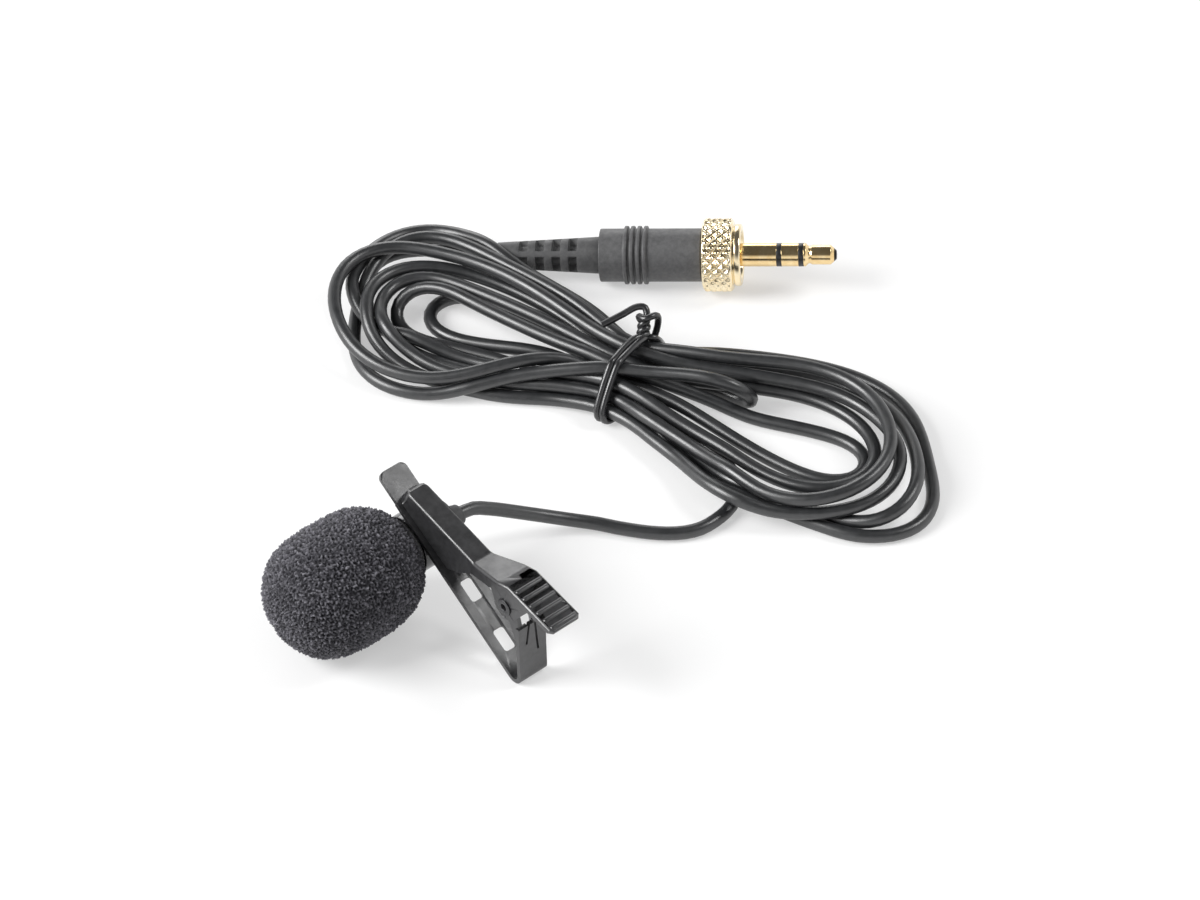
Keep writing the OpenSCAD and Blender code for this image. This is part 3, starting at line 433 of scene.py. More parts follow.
# The loops as p, q, z. The L loops lie at p < 0, where the cord leaves for the plug, and the others at
# p > 0, where it comes in from the microphone.
LOOPS = {
    "L7": [
        (-4.7, 2.1, 1.2), (-8.6, 1.6, 2), (-11.7, 1.2, 2.6), (-15.5, 0.5, 2.4), (-18.6, 0, 2),
        (-21.7, -0.5, 1.5), (-24.9, -0.9, 1.2), (-27, -1, 1), (-29.2, -0.9, 1), (-31.3, -0.3, 1),
        (-32.9, 1.2, 1), (-33.4, 3.3, 1), (-32.9, 5.4, 1.2), (-31.3, 7, 1.5), (-29.2, 7.6, 1.8),
        (-26.8, 7.6, 2), (-20, 6, 2.4), (-12.4, 4.1, 2.6), (-4.5, 1.7, 2.8),
    ],
    "B": [
        (5, 3.7, 1.8), (8.9, 5.2, 1.2), (11.8, 6.7, 1), (14, 7, 1), (16.3, 6.6, 1.4), (18.1, 5.7, 2.7),
        (18.8, 4.4, 4.5), (18.1, 3, 6.2), (16.3, 1.9, 7.5), (14, 1.6, 7.9), (12.2, 1.8, 7.5), (9, 1, 7.2),
        (5.2, -0.3, 6.8),
    ],
    "L8": [
        (-5, -3.8, 6), (-7.9, -4.6, 5.6), (-10.6, -5.7, 5), (-13.3, -6.8, 4), (-15.9, -8.1, 3),
        (-18.5, -9.6, 2), (-21.1, -11.1, 1.4), (-23.6, -12.9, 1), (-26.2, -14, 1), (-29, -14.7, 1),
        (-31.5, -14.8, 1), (-34.4, -14.1, 1), (-36.8, -12.6, 1), (-38.8, -10.6, 1.2), (-40.2, -8.2, 1.6),
        (-41.4, -5.7, 2.4), (-42.5, -2.7, 3.2), (-43.4, 0.6, 3.8), (-44, 4, 4.3), (-43.8, 7.3, 4.8),
        (-42.9, 9.8, 5.2), (-41.4, 11.8, 5.5), (-39.3, 12.9, 5.8), (-37.1, 13.4, 6), (-32, 13.3, 6),
        (-26.7, 12.4, 6), (-19.3, 11.1, 6), (-11.6, 9.2, 6),
    ],
    "RA": [
        (6.1, 6.7, 6.2), (10.7, 7.3, 6.4), (15, 8.4, 6.6), (19.2, 9.8, 6.8), (23.5, 10.9, 7),
        (26.5, 11.3, 7), (29.7, 11.3, 7), (32.9, 10.5, 7), (36, 9, 7), (38.8, 6.6, 7), (41, 3.9, 7),
        (42.4, 0.8, 7), (42.9, -2.4, 6.8), (42.5, -5.4, 6.6), (41.4, -8, 6.4), (39.6, -10.2, 6),
        (37.3, -11.9, 5.6), (34.8, -13.2, 5.2), (31.9, -13.7, 4.6), (28.7, -13.7, 4), (25.5, -12.6, 3.9),
        (22, -11.4, 3.8), (18.2, -9.8, 3.7), (14.3, -8.3, 3.7), (10.3, -6.9, 3.6), (6.4, -5.7, 3.4),
    ],
    "L5": [
        (-7.4, -4.7, 2.5), (-13.5, -6.1, 1.5), (-18.3, -7, 1), (-22.3, -7.3, 1), (-26.5, -7.2, 1),
        (-30.8, -6.9, 1.2), (-34.3, -6, 1.6), (-37.1, -4.6, 2.4), (-39, -2.6, 3.2), (-39.6, -0.6, 4),
        (-39.2, 1.6, 4.6), (-37.9, 3.2, 5), (-35.8, 4.1, 5.3), (-32.7, 4.7, 5.5), (-29.5, 4.9, 5.6),
        (-26.3, 5.2, 5.6), (-22.8, 5, 5.6), (-17.5, 4.5, 5.6), (-12.2, 3.9, 5.4), (-6.8, 2.9, 5.2),
    ],
    "RC": [
        (7.4, 4, 4), (11.7, 5.2, 3.6), (16.1, 6.3, 3.3), (20.2, 7.9, 3), (24.5, 8.9, 3), (27.7, 8.9, 3),
        (31.1, 8.5, 3), (34.2, 7.4, 3), (36.9, 5.7, 3), (39, 3.4, 3), (40.2, 0.8, 3), (40.1, -2.1, 3),
        (39, -4.5, 3), (37.2, -6.5, 3), (34.7, -7.7, 2.8), (31.9, -8.1, 2.6), (28.9, -8, 2.4),
        (25.2, -7.7, 2.4), (21.9, -7.2, 2.5), (18.4, -6.3, 2.8), (14.8, -5.4, 3.2), (11, -4.9, 3.7),
        (7.4, -4.6, 4.3), (4, -4.4, 4.7),
    ],
    "L2": [
        (-6.6, -4, 3), (-11.4, -4.2, 2), (-16.3, -4.3, 1.2), (-21, -4.9, 1), (-25.6, -5.8, 1),
        (-29.6, -6.1, 1), (-33.8, -6.1, 1.3), (-37.2, -5.9, 2), (-40, -5.1, 2.8), (-42.4, -3.2, 3.3),
        (-44.1, -0.8, 3.7), (-45.4, 2.3, 4), (-46, 5.8, 4), (-45.8, 9.7, 3.8), (-44.9, 12.9, 3.5),
        (-43.5, 15.3, 3.4), (-41.5, 16.8, 3.4), (-39.2, 17.3, 3.5), (-33.9, 16.7, 4), (-28.2, 15.1, 4.1),
        (-20.7, 13.3, 4.2), (-13, 11.4, 4.2), (-7.2, 9.6, 4.2),
    ],
    "R5": [
        (5.8, 10.8, 2.6), (11.2, 13.1, 2.2), (16.8, 15.1, 2), (22.6, 16.6, 2), (28.9, 17.1, 2),
        (34, 16.5, 2), (38.5, 14.4, 2.2), (42, 11.6, 2.2), (44.5, 8.2, 2), (46.4, 5.1, 1.4),
        (48.5, 2.3, 1), (50.1, -0.9, 1), (50.8, -4.5, 1), (49.9, -7.8, 1), (47.7, -10, 1),
        (44.5, -11.2, 1), (40.8, -11.9, 1), (37.1, -12.2, 1), (34, -12.4, 1), (30.6, -13.4, 2.3),
        (27, -14.2, 3.5), (22.9, -13.3, 3.4), (17.2, -10.6, 1.6), (12.2, -8.1, 1), (7.1, -5.6, 1),
    ],
    "L6": [
        (-8.6, -3.3, 1), (-14.8, -3.8, 1), (-19.8, -3.7, 1), (-24.8, -3.5, 1), (-28.2, -3.5, 1),
        (-30.4, -3.5, 1), (-32.9, -3.4, 1), (-35.2, -2.7, 1.2), (-36.8, -1.4, 2), (-37.4, 0.4, 3.2),
        (-36.8, 2.3, 4.4), (-35.1, 3.6, 5.2), (-32.9, 4.1, 5.5), (-30.4, 3.8, 5.5), (-28.3, 2.8, 5.4),
        (-25, 2.7, 5.4), (-19.6, 2.1, 5.4), (-14.3, 1.5, 5.3), (-9, 0.8, 5.2), (-4.8, 0.5, 5),
    ],
    "M": [
        (4.2, 0.7, 4.2), (8.5, 1.8, 3.5), (11.3, 2.8, 2.6), (14.3, 3.4, 2), (17.2, 3, 1.2),
        (20.2, 2.8, 1), (23.5, 3.7, 1), (26.7, 4.4, 1), (29.9, 4.3, 1), (32.2, 4.5, 1), (34.5, 4.5, 1),
        (36.6, 4, 1), (38.1, 2.4, 1), (38.7, 0.3, 1), (38.1, -1.8, 1), (36.6, -3.3, 1), (34.5, -3.9, 1),
        (31.3, -4.1, 1), (28.3, -3.8, 1), (25.1, -3.5, 1.2), (21.8, -3, 1.6), (18.4, -2.5, 2),
        (14.9, -1.8, 2.4), (11.2, -1, 2.8), (7.4, -0.3, 3), (3.8, 0, 3),
    ],
    "L1": [
        (-5.9, -0.4, 4.5), (-9.1, -2.3, 5.5), (-11.4, -4.1, 6), (-13.7, -6, 6), (-16.3, -7.5, 5.5),
        (-18.6, -9.5, 5), (-22.5, -11.7, 4), (-25.9, -13.1, 3.6), (-29.8, -13.7, 3.6),
        (-33.1, -13.7, 3.8), (-36.8, -13.1, 4.2), (-39.7, -11.5, 5), (-42.5, -8.9, 5.6), (-44.7, -6, 6),
        (-46, -3, 6.3), (-46.5, 0, 6.5), (-46.1, 2.9, 6.6), (-44.9, 5.3, 6.7), (-42.6, 7.2, 6.8),
        (-39.6, 8.1, 7), (-34.7, 9.2, 7), (-29.4, 9.7, 7), (-23.8, 9.2, 7), (-16.6, 7.7, 6.8),
        (-9.3, 5.6, 6.3),
    ],
    "RB": [
        (6.9, 5, 5), (11.4, 5.8, 5), (15.8, 6.8, 5), (20, 8.2, 5), (24.3, 9.1, 5), (27.4, 9.6, 5),
        (30.5, 9.6, 5), (34, 9, 5), (37.2, 7.5, 5), (40.8, 5.3, 5), (43.3, 2.5, 5), (44.6, -0.9, 4.8),
        (44.6, -4.3, 4.4), (43.5, -7.4, 4), (41.5, -9.9, 3.5), (38.9, -11.7, 3), (36.2, -12.8, 3),
        (33.5, -13.6, 2.6), (30.8, -14.7, 3), (28.5, -16.4, 4.6), (25.3, -16.3, 4.8), (21.3, -14.6, 3.8),
        (16.6, -11.0, 1.9), (12.7, -9.3, 2.1), (8.7, -7.5, 2.3), (4.8, -6.1, 2.6),
    ],
    "L4": [
        (-7.1, -5.5, 1.6), (-12.7, -7.6, 1), (-17.1, -9.1, 1), (-21.8, -9.7, 1), (-26.5, -10.2, 1),
        (-30.8, -10.1, 1.2), (-33.8, -9.7, 2), (-36.2, -8.9, 3), (-38.4, -7.3, 4), (-40.3, -4.6, 4.6),
        (-41.3, -2, 5), (-41.4, 0.3, 5.3), (-40.7, 2.7, 5.5), (-39.2, 4.7, 5.6), (-37, 6.3, 5.6),
        (-34.2, 7.9, 5.4), (-31.1, 8.8, 5), (-27.8, 9.5, 4.5), (-20.7, 9.3, 4), (-13.5, 7.9, 3.6),
        (-8.1, 6.3, 3.2),
    ],
    "R4": [
        (6.8, 8.6, 3), (12.6, 10.1, 3), (18.3, 11.9, 3), (22.6, 12.9, 3), (27.2, 13.5, 3),
        (32.1, 13.3, 3), (36.5, 12.2, 3.2), (40, 9.9, 3.6), (43, 6.6, 4), (45.4, 3.3, 4.3),
        (47.2, -0.2, 4.5), (48, -4, 4.3), (47.4, -7.3, 3.7), (45.6, -9.7, 2.9), (43, -10.9, 2),
        (40, -11.1, 1.4), (36.7, -10.9, 1), (33.7, -10.6, 1), (30.6, -10.8, 1), (27.8, -11.6, 1.6),
        (24.4, -12.8, 3), (20.7, -11.7, 2.4), (16.4, -8.9, 1), (12.5, -7.3, 1), (8.7, -5.9, 1),
        (5, -4.8, 1),
    ],
    "L3": [
        (-7.4, -4.8, 1), (-13.5, -6.0, 1), (-18.5, -6.6, 1), (-23.2, -7, 1), (-28.3, -6.9, 1),
        (-32.9, -6.2, 1), (-37, -4.8, 1.2), (-40.3, -2.8, 1.6), (-42.7, -0.7, 2.2), (-44.4, 1.9, 2.5),
        (-45.2, 5.5, 2.8), (-44.7, 8.3, 3), (-43.1, 10.4, 3), (-40.5, 12, 3), (-37.3, 13, 3),
    ],
}
# Order in which the cord runs through the loops, and where it crosses the tie between two of them (q, z)
ROUTE = [
    ((1.0, 1.3), "L7"), ((2.5, 2.6), "B"), ((-1.9, 5.8), "L8"), ((5.3, 5.2), "RA"), ((-3.4, 3.1), "L5"),
    ((2.3, 4.5), "RC"), ((-3.2, 4.9), "L2"), ((6.4, 3.4), "R5"), ((-1.8, 1.3), "L6"), ((0.5, 4.4), "M"),
    ((-0.8, 2.9), "L1"), ((3.3, 6.1), "RB"), ((-5.1, 2.7), "L4"), ((4.6, 2.2), "R4"), ((-3.9, 1.3), "L3"),
]
# Length of the cord's segments while it settles
STRIDE = 2.5
# How much the tie's own wire lifts the bundle off the floor, and how far along the hank that reaches
TIE_LIFT, TIE_REACH = 0.35, 3.2


def spline(points, step):
    """Centripetal Catmull-Rom curve through the points, cut into even steps."""
    p = np.asarray(points, float)
    q = np.vstack([2 * p[0] - p[1], p, 2 * p[-1] - p[-2]])
    parts = []
    for i in range(1, len(q) - 2):
        a, b, c, d = q[i - 1 : i + 3]
        ta = 0.0
        tb = ta + np.linalg.norm(b - a) ** 0.5
        tc = tb + np.linalg.norm(c - b) ** 0.5
        td = tc + np.linalg.norm(d - c) ** 0.5
        t = np.linspace(tb, tc, 12, endpoint=False)[:, None]
        ab = (tb - t) / (tb - ta) * a + (t - ta) / (tb - ta) * b
        bc = (tc - t) / (tc - tb) * b + (t - tb) / (tc - tb) * c
        cd = (td - t) / (td - tc) * c + (t - tc) / (td - tc) * d
        abc = (tc - t) / (tc - ta) * ab + (t - ta) / (tc - ta) * bc
        bcd = (td - t) / (td - tb) * bc + (t - tb) / (td - tb) * cd
        parts.append((tc - t) / (tc - tb) * abc + (t - tb) / (tc - tb) * bcd)
    line = np.vstack(parts + [p[-1:]])
    far = np.r_[0, np.cumsum(np.linalg.norm(np.diff(line, axis=0), axis=1))]
    at = np.linspace(0, far[-1], int(round(far[-1] / step)) + 1)
    return np.c_[[np.interp(at, far, line[:, k]) for k in range(3)]].T


def nearest(a, b, i, j):
    """Closest points of the segments i and j: their shares along each, and the vector between them."""
    pa, da, pb, db = a[i], b[i] - a[i], a[j], b[j] - a[j]
    r = pa - pb
    aa, bb, ab = (da * da).sum(1), (db * db).sum(1), (da * db).sum(1)
    ar, br = (da * r).sum(1), (db * r).sum(1)
    den = aa * bb - ab * ab
    s = np.where(den > 1e-9, np.clip((ab * br - ar * bb) / np.maximum(den, 1e-9), 0, 1), 0)
    t = (ab * s + br) / bb
    t_in = np.clip(t, 0, 1)
    s = np.where(t != t_in, np.clip((ab * t_in - ar) / aa, 0, 1), s)
    return s, t_in, (pa + da * s[:, None]) - (pb + db * t_in[:, None])


def close_pairs(x, apart):
    """Pairs of segments that lie near each other and at least that many segments apart along the cord."""
    reach = CORD_D + 3.6
    mid = (x[1:] + x[:-1]) / 2
    i, j = np.where(((mid[:, None] - mid[None]) ** 2).sum(2) < reach**2)
    keep = j - i >= apart
    return i[keep], j[keep]


def push_apart(x, i, j, free):
    """Moves the pairs of segments that overlap away from each other.

    clear is the distance they should keep, ease each one's share of what is missing, and haste a factor
    that settles them sooner.
    """
    clear, ease, haste = CORD_D + 0.03, 0.45, 1.3
    s, t, gap = nearest(x[:-1], x[1:], i, j)
    dist = np.linalg.norm(gap, axis=1)
    k = dist < clear
    push = ((clear - dist[k]) * ease / np.maximum(dist[k], 1e-6))[:, None] * gap[k]
    move, count = np.zeros_like(x), np.zeros(len(x))
    for at, share, sign in ((i[k], 1 - s[k], 1), (i[k] + 1, s[k], 1),
                            (j[k], 1 - t[k], -1), (j[k] + 1, t[k], -1)):
        np.add.at(move, at, sign * push * share[:, None])
        np.add.at(count, at, share)
    return x + free[:, None] * move / np.maximum(count, 1)[:, None] * haste


def keep_lengths(x, rest, free):
    """Moves the two ends of every second segment, then of the others, back to its length at rest."""
    for first in (0, 1):
        a = np.arange(first, len(x) - 1, 2)
        along = x[a + 1] - x[a]
        far = np.linalg.norm(along, axis=1)
        both = np.maximum(free[a] + free[a + 1], 1e-9)
        fix = ((far - rest[a]) / far)[:, None] * along * 0.5
        x[a] += fix * (free[a] / both)[:, None]
        x[a + 1] -= fix * (free[a + 1] / both)[:, None]


def settle(x, rounds, held_start, held_end):
    """Lets the drawn route lie as a cord does: bending evenly, resting on the floor and on itself.

    The first held_start and the last held_end points stay where they are drawn. In each round the others
    straighten by the share bending, go back to the drawn route by the shares to_drawn and to_height, and
    sink by weight (mm). Segments less than apart along the cord don't push each other.
    """
    bending, to_drawn, to_height, weight = 0.08, 0.03, 0.03, 0.006
    drawn = x.copy()
    rest = np.linalg.norm(np.diff(x, axis=0), axis=1)
    free = np.ones(len(x))
    free[:held_start] = 0
    free[len(x) - held_end :] = 0
    apart = int(math.ceil(3.6 * CORD_D / rest.mean()))
    for turn in range(rounds):
        if turn % 8 == 0:
            i, j = close_pairs(x, apart)
        lap = x[:-2] - 2 * x[1:-1] + x[2:]
        force = np.zeros_like(x)
        force[:-2] -= lap
        force[1:-1] += 2 * lap
        force[2:] -= lap
        x = x + free[:, None] * bending * force
        x[:, :2] += free[:, None] * to_drawn * (drawn[:, :2] - x[:, :2])
        x[:, 2] += free * (to_height * (drawn[:, 2] - x[:, 2]) - weight)
        for _ in range(2):
            x = push_apart(x, i, j, free)
            keep_lengths(x, rest, free)
            x[:, 2] = np.maximum(x[:, 2], CORD_D / 2 + TIE_LIFT * np.exp(-((x[:, 0] / TIE_REACH) ** 4)))
    return x


def tube(name, points, radius, mat, replaces, radii=None, sides=4):
    """Round tube along points (mm) on the microphone's body, as a curve of one spline with closed ends."""
    curve = bpy.data.curves.new(name, "CURVE")
    curve.dimensions = "3D"
    curve.bevel_depth, curve.bevel_resolution = radius * MM, sides
    curve.use_fill_caps = True
    run = curve.splines.new("POLY")
    run.points.add(len(points) - 1)
    run.points.foreach_set("co", np.c_[np.asarray(points) * MM, np.ones(len(points))].ravel())
    if radii is not None:
        run.points.foreach_set("radius", radii)
    run.use_smooth = True
    return add_piece(name, curve, mat, "microphone", replaces)


# Points that are held: those of the free stretch, which is drawn as it lies, and the last at the plug
FREE_POINTS, PLUG_POINTS = 24, 4
ROUNDS = 500
PLUG_ROUTE = [(55.4, 60.6, 3.2), on_plug(BOOT_TAIL - 2), on_plug(BOOT_TAIL)]

route = [tuple(p) for p in to_hank(MIC_ROUTE)]
for crossing, loop in ROUTE:
    route.append((0.0, *crossing))
    route += LOOPS[loop]
route += [tuple(p) for p in to_hank(PLUG_ROUTE)]
strand = settle(spline(route, STRIDE), ROUNDS, FREE_POINTS, PLUG_POINTS)
line = from_hank(spline(strand, STRIDE / 2))
line[0], line[-1] = MIC_EXIT, on_plug(BOOT_TAIL)
cord = tube("cord_lead", line, CORD_D / 2, CORD_MAT, ["mic_cable", "cable_hank", "plug_cable"])


# ---- Twist tie ------------------------------------------------------------------------------

TIE_R = 0.52
# Distance between the wire's two turns, and the angle (degrees) at which they start and end. In these
# angles 90 is on top of the bundle, 180 in front of it and 270 under it.
SIDE_BY_SIDE, TIE_START = 0.95, 60
# Shift of the wire along the hank at each angle
TIE_SHIFT = ([60, 95, 130, 170, 205, 235, 262, 300, 350, 420],
             [0.3, -0.1, -0.2, 0.1, 0.2, 0.4, 0.6, 0.7, 0.6, 0.3])
# Under the bundle the wire is pressed flatter, and its middle lies no lower than this
TIE_LOW = 0.32
# The tie is laid round the strands from this point of the cord on
TIED_FROM = 30
# The two ends go round each other this many turns, and then run free from the knot
TWIST = 1.1
FIRST_END = [(-0.6, 8.6, 10.1), (-1.7, 8.3, 10.1), (-3.4, 6.6, 9.2), (-5.5, 4.3, 8.2)]
LAST_END = [
    (-0.9, 7.2, 9.4), (0.4, 6.7, 9.8), (1.1, 7.5, 10), (1.5, 8.4, 9.5), (1.5, 8.6, 7.7), (1.3, 8, 5.8),
]


def crossings(p):
    """Where the tied strands cross the plane at p: q and z of each."""
    a, b = strand[:-1], strand[1:]
    k = ((a[:, 0] - p) * (b[:, 0] - p) < 0) & (np.arange(len(a)) > TIED_FROM)
    t = ((p - a[k, 0]) / (b[k, 0] - a[k, 0]))[:, None]
    return (a[k] + t * (b[k] - a[k]))[:, 1:]


def round_bundle(angle, p, off):
    """Point of the bundle's outline at p, that far off the strands' middles, in the direction angle."""
    d = np.array([math.cos(angle), math.sin(angle)])
    c = crossings(p)
    q, z = c[np.argmax(c @ d)] + off * d
    return (p, q, max(z, TIE_LOW))


def tie_turns():
    """The wire's two turns round the bundle, side by side, from the knot back to the knot."""
    turns = []
    for angle in range(TIE_START, TIE_START + 721, 6):
        within = TIE_START + (angle - TIE_START) % 360
        # In each turn the wire steps aside once, while it passes under the bundle
        steps = sum(min(1, max(0, (angle - start) / 90)) for start in (210, 570))
        p = float(np.interp(within, *TIE_SHIFT)) + SIDE_BY_SIDE * (steps - 0.5)
        under = math.exp(-(((within - 270) / 42) ** 4))
        turns.append(round_bundle(math.radians(angle), p, CORD_D / 2 + TIE_R * (1 - 0.35 * under) + 0.02))
    return np.array(turns)


def twisted(low, top, start, count=18):
    """One of the two ends going round the other from low to top, from the angle start (degrees)."""
    axis = (top - low) / np.linalg.norm(top - low)
    across = np.cross(axis, [1.0, 0, 0])
    across /= np.linalg.norm(across)
    third = np.cross(axis, across)
    out = []
    for k in range(count + 1):
        a = math.radians(start + 360 * TWIST * k / count)
        aside = TIE_R * 1.02 * (math.cos(a) * across + math.sin(a) * third)
        out.append(low + (top - low) * k / count + aside)
    return np.array(out)


turns = tie_turns()
knot_low = np.array([0.35, 6.0, turns[0, 2] + 0.45])
knot_top = np.array([-0.1, 7.4, turns[0, 2] + 1.9])
first_twist, last_twist = twisted(knot_low, knot_top, 200), twisted(knot_low, knot_top, 20)
tie_line = spline(np.vstack([FIRST_END[::-1], first_twist[::-1], turns[2:-2:4], last_twist, LAST_END]), 0.35)
slim = np.interp(tie_line[:, 2], [0.3, 1.4], [0.6, 1.0])
tie_line[:, 2] = np.maximum(tie_line[:, 2], TIE_R * slim)
tie = tube("tie_wire", from_hank(tie_line), TIE_R, TIE_MAT, ["twist_tie"], radii=slim, sides=3)


# ---- Windscreen -----------------------------------------------------------------------------

# Sizes of the foam's open cells, of the grains between them and of its soft swellings
FOAM_CELL, FOAM_GRAIN, FOAM_SWELL = 0.60, 0.29, 4.5
# Points round the foam and along its outline
FOAM_ROUND, FOAM_ALONG = 470, 300
# Radius of the bore for the microphone, and where the bore ends before the foam's middle
BORE_R, SEAT = BODY_D / 2 + 0.05, -5.4


def foam_radius(k):
    """Radius at the share k of the foam's half length, which is blunt at both ends."""
    return FOAM_D / 2 * (1 - abs(k) ** 3) ** (1 / 2.2) if abs(k) < 1 else 0.0


def foam_outline():
    """Outside of the foam as radius and x in even steps, from its front to the bore's mouth."""
    shares = [-math.cos(math.pi * i / FOAM_ALONG) for i in range(FOAM_ALONG + 1)]
    o = np.array([(foam_radius(k), k * FOAM_L / 2) for k in shares])
    far = np.r_[0, np.cumsum(np.linalg.norm(np.diff(o, axis=0), axis=1))]
    even = np.linspace(0, far[-1], FOAM_ALONG + 1)
    o = np.c_[np.interp(even, far, o[:, 0]), np.interp(even, far, o[:, 1])]
    return o[(o[:, 1] < 0) | (o[:, 0] > BORE_R + 0.5)]


def foam_relief(v):
    """How far the foam's skin stands out at the point v, and the painted shade there (0 to 1), strongest in
    the open cells and between the grains.
    """
    near = noise.voronoi(v / FOAM_CELL)[0]
    pit_and_shade = min(1.0, (near[1] - near[0]) / 0.40) * (0.85 + 0.4 * noise.noise(v / 0.9))
    grain = min(1.0, max(0.0, 2.2 * noise.noise(v / FOAM_GRAIN)))
    swell = noise.noise(v / FOAM_SWELL) * 0.08
    out = swell + 0.02 - 0.26 * pit_and_shade + 0.34 * grain
    # The second value is painted shade: dark in the open cells and between the grains, light on the grains
    # that stand out
    return out, max(0.0, min(1.0, 0.45 * pit_and_shade + 0.62 * (1 - grain)))


def foam_mesh():
    """Foam head with open cells over its outside and a plain blind bore for the microphone."""
    outside = foam_outline()
    rear = FOAM_L / 2 - 0.02
    lining = [(BORE_R + 0.25, rear), (BORE_R, rear - 0.4)]
    lining += [(BORE_R, x) for x in np.linspace(rear - 1, SEAT, 24)]
    lining += [(BORE_R * 0.6, SEAT), (0.0, SEAT)]
    t = np.linspace(0, TAU, FOAM_ROUND, endpoint=False)
    cos, sin = np.cos(t), np.sin(t)
    points = np.array([np.c_[np.full(FOAM_ROUND, x), r * cos, r * sin] for r, x in [*outside, *lining]])
    pit_shades = np.zeros(points.shape[:2])
    last = len(outside) - 1
    for i, (r, x) in enumerate(outside):
        along = outside[min(i + 1, last)] - outside[max(i - 1, 0)]
        out_x, out_r = np.array([-along[0], along[1]]) / np.linalg.norm(along)
        fade = min(1.0, max(0.0, (r - BORE_R) / 1.2)) if x > 0 else 1.0
        for k in range(FOAM_ROUND):
            move, pit_shades[i, k] = foam_relief(Vector(points[i, k]))
            points[i, k] += move * fade * np.array([out_x, out_r * cos[k], out_r * sin[k]])
    points += FOAM_AT
    points[..., 2] = np.maximum(points[..., 2], 0)
    mesh = grid_mesh("foam_head", points)
    # The painted shade is stored on the points for the foam's material
    mesh.attributes.new("pit_and_shade", "FLOAT", "POINT").data.foreach_set("value", pit_shades.ravel().astype(np.float32))
    close_mesh(mesh)
    return mesh


def foam_material():
    """Grey foam with painted shade, near black in its open cells and between the grains."""
    made = material("foam", (0.07, 0.068, 0.08), (0.21, 0.205, 0.23), (0.75, 0.95), grain=1500, bump=0.5,
                    spec=0.2, detail=5.0, spread=(0.36, 0.66), sheen=0.2)
    tree = made.node_tree
    pit_and_shade = add_node(tree, "ShaderNodeAttribute", attribute_name="pit_and_shade")
    painted_shade = add_node(tree, "ShaderNodeMapRange", {
        "Value": pit_and_shade.outputs["Fac"], "From Min": 0.15, "From Max": 0.80, "To Min": 0.0, "To Max": 0.92})
    # Painted shade: near black laid over the foam's tones in its open cells and between the grains
    tone_over(made, painted_shade.outputs[0], (0.010, 0.010, 0.013))
    return made


foam = add_piece("foam_head", foam_mesh(), foam_material(), "windscreen", ["windscreen"])


# ---- Locking ring ------------------------------------------------------------------------------

# Diamonds round the grip, how deep they are cut, and the share of a ridge's half width that slopes
DIAMONDS, KNURL_DEPTH, SLOPE = 21, 0.42, 0.66
# Where the ring's metal starts, and where its narrow bore for the neck ends and the thread begins
RING_BACK, NECK_END = 0.1, 2.0


def plug_matrix():
    """Turns the plug's own frame, with z along its axis, into the place where it lies."""
    z = Vector(PLUG_DIR)
    x = Vector((-math.sin(PLUG_YAW), math.cos(PLUG_YAW), 0))
    y = z.cross(x)
    m = Matrix((x, y, z)).transposed().to_4x4()
    m.translation = Vector(PLUG_START) * MM
    return m


def lock_profile(r, lip_r):
    """Radius and height of the ring's turned section, from the neck's bore round its outside and back."""
    back, front = RING_BACK, LOCK_L + LIP_L
    knurled = [(r, s) for s in np.linspace(back + 0.42, LOCK_L - 0.42, 44)]
    return [
        (NECK_R, back + 0.15), (NECK_R + 0.15, back), (r - 0.55, back), (r - 0.42, back + 0.03),
        (r - 0.1, back + 0.3), *knurled, (r - 0.1, LOCK_L - 0.3), (r - 0.4, LOCK_L - 0.04),
        (r - 0.55, LOCK_L), (lip_r - 0.28, LOCK_L), (lip_r - 0.3, LOCK_L + 0.05),
        (lip_r - 0.3, LOCK_L + 0.22), (lip_r - 0.04, LOCK_L + 0.28), (lip_r, LOCK_L + 0.34),
        (lip_r, front - 0.28), (lip_r - 0.08, front - 0.08), (lip_r - 0.28, front),
        (THREAD_R + 0.2, front), (THREAD_R, front - 0.2), (THREAD_R, NECK_END + 0.1),
        (THREAD_R - 0.1, NECK_END), (NECK_R + 0.1, NECK_END), (NECK_R, NECK_END - 0.1),
        (NECK_R, back + 0.15),
    ]


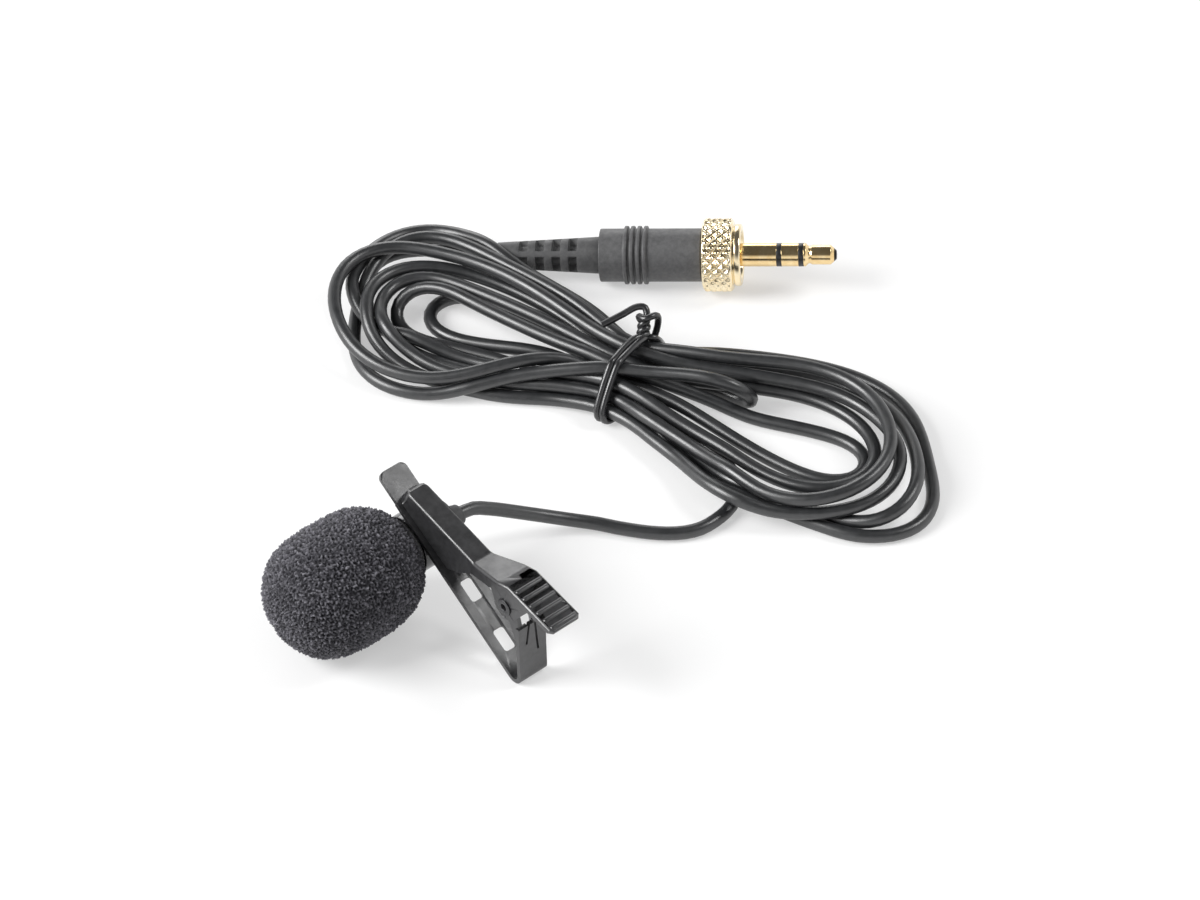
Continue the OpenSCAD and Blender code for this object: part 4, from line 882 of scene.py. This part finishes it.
def knurl_mesh():
    """Turned ring: knurled grip, groove and smooth lip outside, bore for the neck and thread inside."""
    r = LOCK_D / 2
    pitch, around = TAU * r / DIAMONDS, DIAMONDS * 12
    t = np.linspace(0, TAU, around, endpoint=False)
    rows = []
    for radius, s in lock_profile(r, r - 0.85):
        rad = np.full(around, radius)
        if radius == r:
            a, b = (t * r + s) / pitch, (t * r - s) / pitch
            ridge = np.minimum(1 - np.abs(2 * (a % 1) - 1), 1 - np.abs(2 * (b % 1) - 1))
            rad = r - KNURL_DEPTH * (1 - np.minimum(1, ridge / SLOPE))
        rows.append(np.c_[rad * np.cos(t), rad * np.sin(t), np.full(around, s)])
    mesh = grid_mesh("lock_nut", np.array(rows))
    close_mesh(mesh)
    mesh.transform(plug_matrix())
    return mesh


lock = add_piece("lock_nut", knurl_mesh(), KNURL_GOLD, "lock", ["locking_ring"])
lock.modifiers.new("normals", "WEIGHTED_NORMAL")


# ---- Rounded copies of the stamped and moulded parts --------------------------------------------

def tip_material():
    """The plug's gold with the small dark face at the very front of the tip."""
    made = GOLD.copy()
    made.name = "gold_tip"
    tree = made.node_tree
    place = add_node(tree, "ShaderNodeTexCoord")
    along = add_node(tree, "ShaderNodeVectorMath", {0: place.outputs["Object"], 1: tuple(PLUG_DIR)},
                     operation="DOT_PRODUCT")
    start = float(on_plug(LOCK_L + LIP_L + SHAFT_L - 0.22) @ PLUG_DIR) * MM
    nose = add_node(tree, "ShaderNodeMapRange", {
        "Value": along.outputs["Value"], "From Min": start, "From Max": start + 0.08 * MM})
    tone_over(made, nose.outputs[0], (0.02, 0.02, 0.02))
    return made


dress("clip_base", PAINT, 0.10)
dress("clip_lever", PAINT, 0.10, 3, fold=0.45)
dress("mic_ring", GLOSS, 0.10)
dress("pivot_pin", PIN_STEEL, 0.06)
dress("mic_housing", STEEL_BODY, 0.08)
dress("rear_collar", COLLAR, 0.10)
dress("mic_strain_relief", RUBBER, 0.12)
boot = dress("plug_boot", RUBBER, 0.10)
barrel = dress("plug_barrel", BARREL, 0.12)
contacts = [dress("sleeve_contact", GOLD, 0.05), dress("ring_contact", GOLD, 0.04)]
bands = [dress(band, BAND, 0.03) for band in ("ring_insulator", "tip_insulator")]
tip = dress("tip_contact", tip_material(), 0.04)

for name, mat in INNER.items():
    node = frame["nodes"][name]
    node.data.materials.clear()
    node.data.materials.append(mat)
